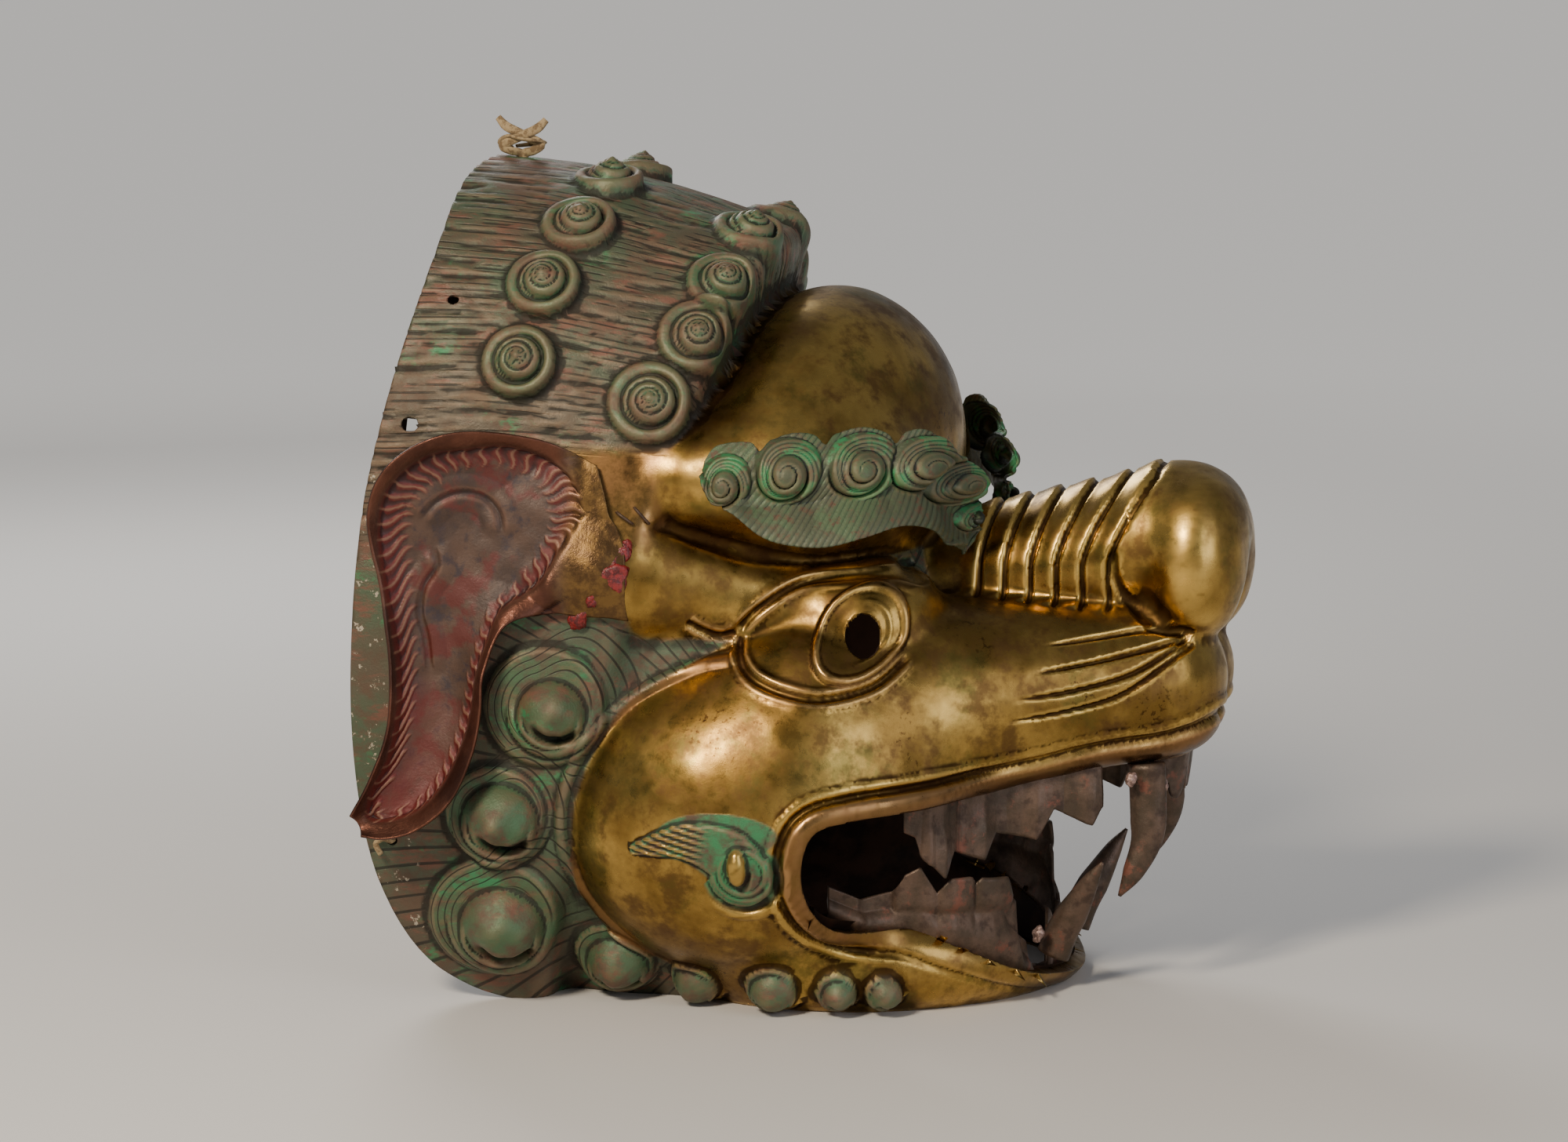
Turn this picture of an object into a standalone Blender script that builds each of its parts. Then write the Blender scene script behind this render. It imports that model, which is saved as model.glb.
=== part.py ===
"""Snow lion mask: a hollow head of hammered copper sheet that stands on its lower edge.

The ears, the brows and the teeth are pieces of their own, fixed to the head. The head faces +X,
the mirror plane is y = 0, and z = 0 is the surface that the mask stands on.
"""

import math

import bmesh
import bpy
import numpy as np
from mathutils import Vector

# Driving sizes in metres
HEAD_HEIGHT = 0.394
SHEET = 0.0012
EAR_SHEET = 0.0012
BROW_SHEET = 0.0012
TEETH_SHEET = 0.0016
CLEARANCE = 0.0028
PUPIL_WIDTH = 0.017
PUPIL_HEIGHT = 0.021
TIE_CORD = 0.0035
CORD_PLAY = 0.0010

# The carving is laid out in 394ths of the head's height, which are millimetres at full size
MM = HEAD_HEIGHT / 394

# Mesh sizes, in the same units
SKIN_VOXEL = 3.4
SKIN_FACES = 2220

for old in list(bpy.data.objects):
    bpy.data.objects.remove(old)
parts = bpy.data.collections.new("snow_lion_mask")
cutters = bpy.data.collections.new("cutters")
for group in (parts, cutters):
    bpy.context.scene.collection.children.link(group)


# The carving is drawn as if seen square from the side. On the head, each place lies further back the
# further out it is from the middle. MIDDLE is where the drawing's own x = 0 lies.
SWEEP = 0.103
FORESHORTENING = 0.972
MIDDLE = 6.93


def swept_by(y):
    return SWEEP * (np.sqrt(y**2 + 144) - 12)


def on_drawing(points):
    """Points of the head as places on the drawing, with y as their distance from the middle."""
    x, y, z = points.T
    return np.stack([(x - MIDDLE + swept_by(y)) / FORESHORTENING, np.abs(y), z], 1)


def on_head(points):
    """Places on the drawing, with their y, as points of the head."""
    x, y, z = np.array(points, float).T
    return np.stack([MIDDLE + x * FORESHORTENING - swept_by(y), y, z], 1)


# Formulas for the head's form: each gives a rough distance to a surface, negative inside

def turned(points, yaw):
    a = math.radians(yaw)
    x, y, z = points.T
    return np.stack([x * math.cos(a) + y * math.sin(a), y * math.cos(a) - x * math.sin(a), z], 1)


def ellipsoid(points, centre, radii, yaw=0.0):
    q = turned(points - np.array(centre), yaw)
    radii = np.array(radii, float)
    near = np.linalg.norm(q / radii, axis=1)
    slope = np.linalg.norm(q / radii**2, axis=1)
    return near * (near - 1) / np.maximum(slope, 1e-9)


def arch(points, centre, radii, squareness):
    """An ellipsoid whose cross-section is squarer than an ellipse."""
    x, y, z = (np.abs(points - np.array(centre)) / np.array(radii)).T
    section = (y**squareness + z**squareness) ** (2 / squareness)
    return (np.sqrt(x**2 + section) - 1) * min(radii)


def taper(points, start, end, start_radius, end_radius):
    """A round bar from start to end whose radius changes evenly."""
    start, end = np.array(start, float), np.array(end, float)
    along = end - start
    t = np.clip(((points - start) @ along) / (along @ along), 0, 1)
    off = points - start - t[:, None] * along
    return np.linalg.norm(off, axis=1) - (start_radius + (end_radius - start_radius) * t)


def join(a, b, fillet):
    h = np.clip(0.5 + 0.5 * (b - a) / fillet, 0, 1)
    return b * (1 - h) + a * h - fillet * h * (1 - h)


def trim(a, b, fillet):
    return -join(-a, -b, fillet)


def head_form(points):
    """The outer face of the head, before it is cut open; both sides are alike."""
    p = on_drawing(points)
    x, z = p[:, 0], p[:, 2]
    crown = arch(p, (-205, 0, 165), (330, 138, 229), 2.35)
    hairline = (x + 26) * 0.966 - (z - 350) * 0.26
    skull = ellipsoid(p, (-75, 0, 120), (150, 121, 160))
    form = join(trim(crown, hairline, 8), skull, 14)
    forehead = ellipsoid(p, (-7, 0, 256), (65, 100, 76))
    temple = ellipsoid(p, (-20, 80, 249), (74, 38, 30), yaw=-8)
    form = join(form, join(forehead, temple, 24), 6)
    cheek = ellipsoid(p, (-22, 80, 93), (96, 71, 80))
    lip_pad = taper(p, (10, 66, 138), (158, 19, 150), 54, 32)
    palate = taper(p, (10, 0, 130), (140, 0, 150), 72, 40)
    form = join(form, join(join(cheek, lip_pad, 34), palate, 24), 5)
    eye_band = taper(p, (-92, 99, 207), (20, 68, 181), 35, 25)
    eyeball = ellipsoid(p, (26, 64, 180), (40, 38, 30), yaw=-18)
    form = join(form, join(eye_band, eyeball, 10), 5)
    bridge = taper(p, (55, 0, 189), (150, 0, 211), 36, 36)
    nose_tip = ellipsoid(p, (168, 0, 220), (32, 36, 32))
    nostril = ellipsoid(p, (178, 19, 207), (23, 27, 38))
    form = join(form, join(join(bridge, nose_tip, 12), nostril, 8), 6)
    jaw = trim(ellipsoid(p, (12, 0, 22), (113, 112, 46)), -(z + 6), 8)
    form = join(form, jaw, 12)
    behind = -(x + 222)
    below = -(z + 16)
    return trim(trim(form, behind, 6), below, 6)


def slopes(form, points, step=0.3):
    """Unit normals of a form at points."""
    found = np.empty_like(points)
    for axis in range(3):
        move = np.zeros(3)
        move[axis] = step
        found[:, axis] = form(points + move) - form(points - move)
    return found / np.maximum(np.linalg.norm(found, axis=1, keepdims=True), 1e-9)


def seat(form, points, rounds=4):
    """Moves points onto the form's surface along its slope."""
    for _ in range(rounds):
        step = 0.3
        rise = form(points + slopes(form, points) * step) - form(points)
        points = points - slopes(form, points) * (form(points) / np.maximum(rise / step, 0.3))[:, None]
    return points


def march(starts, directions):
    """Slides points along their directions to the head's outer face."""
    p, directions = np.array(starts, float), np.array(directions, float)
    for _ in range(90):
        p += directions * np.clip(head_form(p) * 0.8, -6, 9)[:, None]
    return p


def drop_on(start, aim):
    """The point of the outer face met on the way from one place on the drawing to another, and its normal."""
    first, second = on_head([start, aim])
    p = march([first], [(second - first) / np.linalg.norm(second - first)])
    return p[0], slopes(head_form, p)[0]


def side_seat(x, z):
    """The point of the right side's outer face at x and z on the drawing; the right is -Y."""
    return drop_on((x, -190, z), (x, -60, z))


def crown_seat(x, lean):
    """The point of the crown at x on the drawing, lean degrees off the vertical to the right."""
    a = math.radians(lean)
    out = np.array([0, -math.sin(a), math.cos(a)])
    return drop_on((x, 0, 230) + out * 190, (x, 0, 230) + out * 60)


# Curves on the drawing are (x, z) pairs

def smooth_line(points, steps=8, closed=False):
    """A curve through the points, with steps pieces between each two."""
    p = np.array(points, float)
    p = np.vstack([p[-1], p, p[:2]]) if closed else np.vstack([2 * p[0] - p[1], p, 2 * p[-1] - p[-2]])
    t = np.linspace(0, 1, steps, endpoint=False)[:, None]
    runs = []
    for a, b, c, d in zip(p, p[1:], p[2:], p[3:]):
        runs.append(
            b + 0.5 * t * (c - a + t * (2 * a - 5 * b + 4 * c - d + t * (3 * (b - c) + d - a)))
        )
    if not closed:
        runs.append(p[-2][None])
    return np.vstack(runs)


def line_distance(q, line):
    """How far each (x, z) point is from a line of short straight pieces."""
    found = np.full(len(q), 1e9)
    for a, b in zip(line, line[1:]):
        along = b - a
        t = np.clip((q - a) @ along / max(along @ along, 1e-9), 0, 1)
        found = np.minimum(found, np.linalg.norm(q - a - t[:, None] * along, axis=1))
    return found


def ease(low, high, value):
    t = np.clip((value - low) / (high - low), 0, 1)
    return t * t * (3 - 2 * t)


MOUTH = smooth_line(
    [(20, 66), (24, 91), (40, 98), (75, 101), (108, 106), (140, 113), (165, 116), (184, 121),
     (225, 136), (250, 90), (220, 20), (150, -2), (124, 5), (111, 12), (91, 25), (73, 34),
     (58, 40), (30, 46)],
    6, closed=True,
)
BACK_EDGE = smooth_line(
    [(-178, 395), (-176, 351), (-187, 287), (-196, 233), (-200.8, 165), (-200, 110), (-193, 62),
     (-177, 25), (-155, 6), (-125, -3)],
    5,
)

EYELIDS = smooth_line(
    [(-17, 182), (-8, 193), (8, 203), (30, 206), (47, 202), (57, 188), (56, 176), (42, 160), (22, 152),
     (4, 156), (-10, 170)],
    4, closed=True,
)
# The comma-shaped spot on the cheek: its middle line and its half-width at each end
CHEEK_SPOT = smooth_line([(-7, 74), (-14, 84), (-34, 89), (-56, 84)], 5)
SPOT_WIDTHS = (16, 3)

# Snail curls of the hair: x and lean on the crown, radius
HAIR_CURLS = [
    (-126, 57, 17), (-121, 41, 17), (-113, 27, 17), (-112, 11, 16),
    (-64, 63, 19), (-47, 47, 18), (-41, 33, 17), (-40, 15, 17),
]
# Curls of the mane and beard: x and z on the drawing, radius of the boss, of the lock round it
MANE_CURLS = [
    (-104, 143, 16, 29), (-130, 92, 18, 24), (-134, 40, 20, 32), (-85, 20, 15, 20),
    (-44, 13, 11, 13), (-3, 13, 11, 13), (28, 12, 8, 10), (49, 12, 8, 9),
]


def boss(points, seat_point, normal, radius, height):
    """Rise of a curl's drum and cone over a seat, zero outside its radius."""
    off = points - seat_point
    deep = off @ normal
    r = np.linalg.norm(off - deep[:, None] * normal, axis=1) / radius
    drum = 0.55 * (1 - ease(0.74, 1.04, r))
    cone = 0.45 * np.clip(1 - r / 0.56, 0, 1) ** 0.7
    return height * (drum + cone) * (np.abs(deep) < radius)


def knob(points, seat_point, normal, radius, lock):
    """Rise of a mane curl: a dome on a low round lock of hair."""
    off = points - seat_point
    deep = off @ normal
    r = np.linalg.norm(off - deep[:, None] * normal, axis=1)
    dome = np.sqrt(np.clip(1 - (r / radius) ** 2, 0, 1)) * radius * 0.95
    disc = 3.0 * (1 - ease(0.8, 1.0, r / lock))
    return (dome + disc) * (np.abs(deep) < lock + 10)


def relief(points):
    """The head's raised work, as a move for each point of its outer face."""
    right = points * [1, 0, 1] - np.abs(points) * [0, 1, 0]
    normal = slopes(head_form, right)
    drawn = on_drawing(right)
    side = drawn[:, [0, 2]]
    x, y, z = drawn.T * [[1], [-1], [1]]
    ridge = np.abs(np.sin(np.pi * (x - 68) / 15.2)) ** 0.8 * 3.4 - 1.6
    on_bridge = ease(66, 72, x) * (1 - ease(156, 161, x)) * ease(184, 190, z) * (1 - ease(38, 42, -y))
    lip = 3.6 * np.clip(1 - (line_distance(side, np.vstack([MOUTH, MOUTH[:1]])) / 8) ** 2, 0, 1)
    socket = np.hypot((x - 38) / 19, (z - 178) / 22)
    iris = 2.4 * np.clip(1 - ((socket - 0.95) / 0.24) ** 2, 0, 1) * (y < -40)
    move = normal * (ridge * on_bridge + lip + iris)[:, None]
    lids = 3.0 * np.clip(1 - (line_distance(side, np.vstack([EYELIDS, EYELIDS[:1]])) / 5) ** 2, 0, 1) * (y < -40)
    width = np.interp(-x, -CHEEK_SPOT[[0, -1], 0], SPOT_WIDTHS)
    spot = 4.5 * (1 - ease(0.7, 1.0, line_distance(side, CHEEK_SPOT) / width)) * (y < -90)
    move += normal * (lids + spot)[:, None]
    for x_seat, lean, radius in HAIR_CURLS:
        at, out = crown_seat(x_seat, lean)
        move += out * boss(right, at, out, radius, 21)[:, None]
    for x_seat, z_seat, radius, lock in MANE_CURLS:
        at, out = side_seat(x_seat, z_seat)
        move += out * knob(right, at, out, radius, lock)[:, None]
    return move * np.where(points[:, 1:2] > 0, [1, -1, 1], 1)


# Mesh helpers

def coordinates(mesh):
    found = np.empty(len(mesh.vertices) * 3)
    mesh.vertices.foreach_get("co", found)
    return found.reshape(-1, 3)


def place(mesh, points):
    mesh.vertices.foreach_set("co", np.ascontiguousarray(points, np.float32).ravel())
    mesh.update()


def add_object(name, mesh, group=parts):
    found = bpy.data.objects.new(name, mesh)
    group.objects.link(found)
    return found


def evaluated_mesh(obj):
    graph = bpy.context.evaluated_depsgraph_get()
    return bpy.data.meshes.new_from_object(obj.evaluated_get(graph))


def finish_material(name, colour, roughness, metallic):
    made = bpy.data.materials.new(name)
    made.use_nodes = True
    shader = made.node_tree.nodes["Principled BSDF"]
    shader.inputs["Base Color"].default_value = (*colour, 1)
    shader.inputs["Roughness"].default_value = roughness
    shader.inputs["Metallic"].default_value = metallic
    return made


def side_cutter(name, outline, half_width):
    """A closed outline on the drawing, run through the head from side to side."""
    bm = bmesh.new()
    rings = []
    for y in np.array([-1, -0.2, -0.05, 0.05, 0.2, 1]) * half_width / MM:
        rings.append([bm.verts.new(Vector(p) * MM) for p in on_head([(x, y, z) for x, z in outline])])
    for ring, after in zip(rings, rings[1:]):
        for i in range(len(ring)):
            bm.faces.new((ring[i - 1], ring[i], after[i], after[i - 1]))
    bm.faces.new(rings[0])
    bm.faces.new(rings[-1])
    bmesh.ops.recalc_face_normals(bm, faces=bm.faces[:])
    mesh = bpy.data.meshes.new(name)
    bm.to_mesh(mesh)
    bm.free()
    return as_cutter(add_object(name, mesh, cutters))


def as_cutter(obj):
    obj.hide_render = True
    obj.display_type = "WIRE"
    return obj


def cut(obj, cutter, name):
    made = obj.modifiers.new(name, "BOOLEAN")
    made.operation = "DIFFERENCE"
    made.object = cutter
    return made


# The head

def head_skin(voxel):
    """A closed mesh of the head's outer face with its raised work, from a ball pressed onto the form."""
    bm = bmesh.new()
    bmesh.ops.create_icosphere(bm, subdivisions=6, radius=1.0)
    mesh = bpy.data.meshes.new("head_ball")
    bm.to_mesh(mesh)
    bm.free()
    out = coordinates(mesh)
    heart = np.array([-23.0, 0, 140])
    place(mesh, march(heart + out * 430, -out) * MM)
    ball = add_object("head_ball", mesh, cutters)
    even = ball.modifiers.new("even", "REMESH")
    even.mode = "VOXEL"
    even.voxel_size = voxel * MM
    skin = evaluated_mesh(ball)
    bpy.data.objects.remove(ball)
    seated = seat(head_form, coordinates(skin) / MM, 3)
    place(skin, (seated + relief(seated)) * MM)
    return skin


def opened(skin, openings):
    """The skin with few faces and cut open by the openings, still without thickness."""
    skin.materials.append(None)
    skin.materials.append(None)
    whole = add_object("whole_skin", skin, cutters)
    fewer = whole.modifiers.new("fewer_faces", "DECIMATE")
    fewer.ratio = SKIN_FACES / (2 * len(skin.polygons))
    for opening in openings:
        cut(whole, opening, opening.name)
    mesh = evaluated_mesh(whole)
    bpy.data.objects.remove(whole)
    bm = bmesh.new()
    bm.from_mesh(mesh)
    inner_faces = [face for face in bm.faces if face.material_index == 1]
    bmesh.ops.delete(bm, geom=inner_faces, context="FACES")
    bmesh.ops.triangulate(bm, faces=bm.faces[:])
    for limit in (0.7, 1.4, 2.1, 2.1):
        short = [edge for edge in bm.edges if edge.calc_length() < limit * MM]
        bmesh.ops.collapse(bm, edges=short)
    bmesh.ops.dissolve_degenerate(bm, edges=bm.edges[:], dist=0.0001)
    bm.to_mesh(mesh)
    bm.free()
    mesh.materials.clear()
    return mesh


def thicken(obj, thickness, offset):
    wall = obj.modifiers.new("sheet", "SOLIDIFY")
    wall.thickness = thickness
    wall.offset = offset


past_base = [(300, -3), (300, -60), (-300, -60), (-300, 460), (-178, 460)]
back_and_base = side_cutter("back_and_base", list(BACK_EDGE) + past_base, 0.3)
mouth_opening = side_cutter("mouth_opening", MOUTH, 0.3)
for opening in (back_and_base, mouth_opening):
    opening.data.materials.append(None)
    opening.data.materials.append(None)
    opening.data.polygons.foreach_set("material_index", [1] * len(opening.data.polygons))
head = add_object("head_shell", opened(head_skin(SKIN_VOXEL), (back_and_base, mouth_opening)))
thicken(head, SHEET, -1)
cut(head, side_cutter("flat_base", [(-300, 0), (300, 0), (300, -60), (-300, -60)], 0.3), "flat_base")


# Pieces fixed to the head, laid out for the right side; each left one is its mirror image

def off_head(points, thickness):
    """Moves the middle of a sheet out along the slope until it clears the head's form."""
    gap = (CLEARANCE + thickness / 2) / MM
    for _ in range(5):
        short = np.maximum(gap - head_form(points), 0)
        points = points + slopes(head_form, points) * short[:, None]
    return points


def behind_lip(rows, base, thickness):
    """Moves the upright lines of a strip in, level, until the row at its base clears the inside of the head."""
    depth = (SHEET + CLEARANCE + thickness / 2) / MM
    rows = on_head(rows.reshape(-1, 3)).reshape(rows.shape)
    foot = rows[base]
    points = foot.copy()
    for _ in range(8):
        short = np.maximum(head_form(points) + depth, 0)
        way = slopes(head_form, points) * [1, 1, 0]
        points = points - way * (short / np.maximum((way * way).sum(1), 0.25))[:, None]
    return rows + (points - foot)


def along(points, count):
    """Points at even steps of length on a line."""
    p = np.array(points, float)
    run = np.concatenate([[0], np.cumsum(np.linalg.norm(np.diff(p, axis=0), axis=1))])
    at = np.linspace(0, run[-1], count)
    return np.stack([np.interp(at, run, column) for column in p.T], 1)


def between(first, second, count):
    """Rows of points from one edge of a sheet to the other."""
    share = np.linspace(0, 1, count)[:, None, None]
    return first * (1 - share) + second * share


def sheet_piece(name, rows, thickness, material):
    """A sheet of even thickness through rows of points that lie in MM."""
    bm = bmesh.new()
    grid = [[bm.verts.new(Vector(point) * MM) for point in row] for row in rows]
    for row, above in zip(grid, grid[1:]):
        for a, b, c, d in zip(row, row[1:], above[1:], above):
            bm.faces.new((a, b, c, d))
    mesh = bpy.data.meshes.new(name)
    bm.to_mesh(mesh)
    bm.free()
    made = add_object(name, mesh)
    thicken(made, thickness, 0)
    mesh.materials.append(material)
    return made


def rod_piece(name, path, radii, squash, sides, material):
    """A closed round rod along a path, its section squashed sideways."""
    path = np.array(path, float)
    ahead = np.gradient(path, axis=0)
    ahead /= np.linalg.norm(ahead, axis=1, keepdims=True)
    bm = bmesh.new()
    rings = []
    side = np.array([0.0, 1.0, 0.0])
    for centre, forward, radius in zip(path, ahead, radii):
        side = side - forward * (side @ forward)
        side /= np.linalg.norm(side)
        across = np.cross(forward, side)
        turns = np.arange(sides) * 2 * math.pi / sides
        ring = centre + radius * (np.cos(turns)[:, None] * across + squash * np.sin(turns)[:, None] * side)
        rings.append([bm.verts.new(Vector(point) * MM) for point in ring])
    for ring, after in zip(rings, rings[1:]):
        for i in range(sides):
            j = (i + 1) % sides
            bm.faces.new((ring[i], ring[j], after[j], after[i]))
    bm.faces.new(rings[0][::-1])
    bm.faces.new(rings[-1])
    bmesh.ops.recalc_face_normals(bm, faces=bm.faces[:])
    mesh = bpy.data.meshes.new(name)
    bm.to_mesh(mesh)
    bm.free()
    mesh.materials.append(material)
    return add_object(name, mesh)


MIRROR = np.array([1, -1, 1])

# The ears: long, hanging, dished, with a rolled rim
EAR_OUTER = smooth_line(
    [(-85, -121, 257), (-108, -132, 270), (-145, -146, 274), (-173, -153, 260), (-184, -154, 235),
     (-178, -153, 199), (-174, -154, 163), (-175, -156, 136), (-182, -160, 114), (-191, -161, 97)], 4)
EAR_INNER = smooth_line(
    [(-72, -121, 190), (-103, -136, 190), (-121, -145, 185), (-129, -151, 164), (-130, -153, 146),
     (-134, -155, 125), (-144, -158, 104), (-160, -160, 91), (-175, -161, 87), (-186, -161, 88)], 4)


def ear_rows(columns, lines):
    rows = between(along(EAR_INNER, columns), along(EAR_OUTER, columns), lines)
    across = np.linspace(-1, 1, lines)[:, None]
    down = np.linspace(0, 1, columns)[None, :]
    dish = 13 * (1 - np.abs(across) ** 2.4) * np.sin(np.pi * np.clip(down * 0.9 + 0.06, 0, 1)) ** 0.6
    roll = 3.5 * ease(0.78, 0.92, np.abs(across)) * (1 - ease(0.93, 1.0, np.abs(across)))
    rows[:, :, 1] += dish - roll
    return off_head(on_head(rows.reshape(-1, 3)), EAR_SHEET).reshape(rows.shape)


# The brows: a row of curls over a flared lower edge
BROW_TOP = smooth_line(
    [(-34, -115, 258), (-23, -113, 267), (-8, -110, 268), (3, -109, 272), (19, -104, 271), (35, -96, 274),
     (49, -89, 271), (60, -80, 273), (67, -66, 264), (73, -50, 253), (77, -40, 238), (77, -38, 230)], 3)
BROW_FOOT = smooth_line(
    [(-34, -119, 253), (-28, -121, 243), (-18, -122, 238), (-6, -122, 229), (6, -121, 225), (23, -118, 224),
     (39, -111, 228), (52, -99, 232), (61, -83, 228), (65, -68, 217), (70, -50, 210), (75, -40, 216)], 3)
BROW_CURLS = [(-23, 256, 11), (3, 257, 13), (35, 258, 14), (59, 259, 12), (69, 249, 9), (75, 232, 6)]


def brow_rows(columns, lines):
    rows = between(along(BROW_FOOT, columns), along(BROW_TOP, columns), lines)
    drawn = rows.reshape(-1, 3)
    points = off_head(on_head(drawn), BROW_SHEET)
    outward = slopes(head_form, points) * [1, 1, 0.4]
    rise = np.zeros(len(points))
    for x, z, radius in BROW_CURLS:
        r = np.hypot(drawn[:, 0] - x, drawn[:, 2] - z) / radius
        rise = np.maximum(rise, 7 * np.sqrt(np.clip(1 - r * r, 0, 1)))
    flare = np.repeat(7 * (1 - ease(0, 0.45, np.linspace(0, 1, lines))), columns)
    return (points + outward * np.maximum(rise, flare)[:, None]).reshape(rows.shape)


# Plan lines of the lips, (x, y) with the height of the lip's edge
UPPER_LIP = np.array(
    [(19, -118, 75), (24, -114, 94), (58, -105, 98), (75, -98, 101), (108, -82, 107), (140, -62, 115),
     (165, -42, 117), (182, -20, 122), (190, 0, 129)], float)
LOWER_LIP = np.array(
    [(22, -113, 52), (40, -108, 43), (58, -102, 41), (73, -92, 35), (91, -75, 25), (108, -50, 12),
     (118, -30, 6), (122, -12, 4), (122, 0, 4)], float)


def lip_strip(lip, start, end, columns, lines, free_edge, hidden):
    """A sheet behind a lip from x start to x end: its free edge is a list of (x, z)."""
    x = np.linspace(start, end, columns)
    y = np.interp(x, lip[:, 0], lip[:, 1]) * 0.96
    lip_z = np.interp(x, lip[:, 0], lip[:, 2])
    edge = np.array(free_edge, float)
    first = np.stack([x, y, np.interp(x, edge[:, 0], edge[:, 1])], 1)
    second = np.stack([x, y, lip_z + hidden], 1)
    return behind_lip(between(first, second, lines), -1, TEETH_SHEET)


UPPER_TEETH = [(56, 88), (62, 85), (65, 75), (75, 65), (84, 77), (100, 70), (106, 82), (120, 78), (127, 92),
               (141, 84), (146, 95)]
LOWER_TEETH = [(22, 62), (38, 55), (53, 58), (58, 66), (64, 70), (70, 57), (78, 63), (93, 63), (96, 53),
               (100, 50), (102, 15), (112, 12), (117, 11)]

finishes = {
    "head": finish_material("gilt_copper", (0.42, 0.24, 0.07), 0.38, 1.0),
    "ear": finish_material("red_pigment_on_copper", (0.36, 0.07, 0.05), 0.55, 0.3),
    "brow": finish_material("green_pigment_on_copper", (0.10, 0.22, 0.10), 0.6, 0.3),
    "teeth": finish_material("brown_copper", (0.30, 0.13, 0.06), 0.42, 1.0),
    "cord": finish_material("cord_fibre", (0.28, 0.2, 0.1), 0.9, 0.0),
}
head.data.materials.append(finishes["head"])

ear = ear_rows(17, 9)
brow = brow_rows(25, 6)
molars = lip_strip(UPPER_LIP, 57, 145, 24, 3, UPPER_TEETH, 4)
for side, mirror in (("right", 1), ("left", MIRROR)):
    sheet_piece("ear_" + side, ear * mirror, EAR_SHEET, finishes["ear"])
    sheet_piece("brow_" + side, brow * mirror, BROW_SHEET, finishes["brow"])
    sheet_piece("upper_molars_" + side, molars * mirror, TEETH_SHEET, finishes["teeth"])
    upper = smooth_line([(157, -34, 112), (158, -34, 94), (158, -36, 76), (152, -39, 60), (146, -41, 49)], 2)
    thick = np.interp(np.linspace(0, 1, len(upper)), [0, 0.4, 0.75, 1], [9, 8.6, 5, 0.8])
    rod_piece("upper_canine_" + side, on_head(upper * mirror), thick, 0.6, 8, finishes["teeth"])
    lower = smooth_line([(112, -34, 18), (117, -35, 30), (125, -37, 44), (132, -40, 56), (138, -42, 65)], 2)
    thick = np.interp(np.linspace(0, 1, len(lower)), [0, 0.4, 0.75, 1], [8, 7.5, 4, 0.8])
    rod_piece("lower_canine_" + side, on_head(lower * mirror), thick, 0.7, 8, finishes["teeth"])


def gum_rows(columns, lines):
    """The lower gum with its teeth, one strip from the right corner round the front to the left corner."""
    half = along(LOWER_LIP, columns)
    line = np.vstack([half, (half * MIRROR)[-2::-1]])
    edge = np.array(LOWER_TEETH, float)
    top = np.interp(line[:, 0], edge[:, 0], edge[:, 1])
    front = np.abs(line[:, 1]) < 24
    top = np.where(front, 22 + 15 * np.abs(np.cos(line[:, 1] * math.pi / 24)) ** 0.7, top)
    first = line * [1, 0.95, 0] + np.stack([line[:, 0] * 0, line[:, 0] * 0, np.maximum(line[:, 2] - 5, 3)], 1)
    second = line * [1, 0.95, 0] + np.stack([line[:, 0] * 0, line[:, 0] * 0, top], 1)
    return behind_lip(between(first, second, lines), 0, TEETH_SHEET)


def incisor_rows(columns, lines):
    """The upper front teeth, one strip across the mirror plane."""
    half = along([(163, -36, 112), (172, -26, 116), (179, -14, 119), (183, 0, 121)], columns)
    line = np.vstack([half, (half * MIRROR)[-2::-1]])
    drop = 12 + 14 * np.abs(np.sin(np.pi * (np.arange(len(line)) / (len(line) - 1) * 5))) ** 0.6
    first = line - np.stack([drop * 0.15, drop * 0, drop], 1)
    return behind_lip(between(first, line + [0, 0, 4], lines), -1, TEETH_SHEET)


def wound_cord(foot, cord, turns):
    """The path of a cord up through a hole at the foot, wound into a short coil, with a loose end."""
    radius, pitch, lift = 1.6 * cord, 1.26 * cord, cord / 2 + CLEARANCE / MM
    t = np.linspace(0, turns * 2 * math.pi, int(turns * 9))
    coil = np.stack([radius * (np.cos(t) - 1), radius * np.sin(t), pitch * t / (2 * math.pi) + lift], 1)
    leg = np.array([[0.6, 0, -9], [0.2, 0, -3], [0, 0, 0.5]])
    end = coil[-1] + cord * np.array([[0.3, 1.1, 0.4], [0.6, 2.5, 0.9], [0, 3.7, 1.7]])
    return foot + np.vstack([leg, coil, end])


sheet_piece("lower_gum", gum_rows(23, 3), TEETH_SHEET, finishes["teeth"])
sheet_piece("upper_incisors", incisor_rows(11, 3), TEETH_SHEET, finishes["teeth"])


def round_hole(name, centre, direction, width, height, sides=20):
    """A straight cutter of elliptical section along a direction, sizes in metres, centre in MM."""
    bm = bmesh.new()
    bmesh.ops.create_cone(bm, segments=sides, radius1=0.5, radius2=0.5, depth=1, cap_ends=True)
    turn = Vector(direction).to_track_quat("Z", "X")
    for v in bm.verts:
        v.co = turn @ Vector((v.co.x * height, v.co.y * width, v.co.z * 0.05)) + Vector(centre) * MM
    mesh = bpy.data.meshes.new(name)
    bm.to_mesh(mesh)
    bm.free()
    return as_cutter(add_object(name, mesh, cutters))


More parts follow.
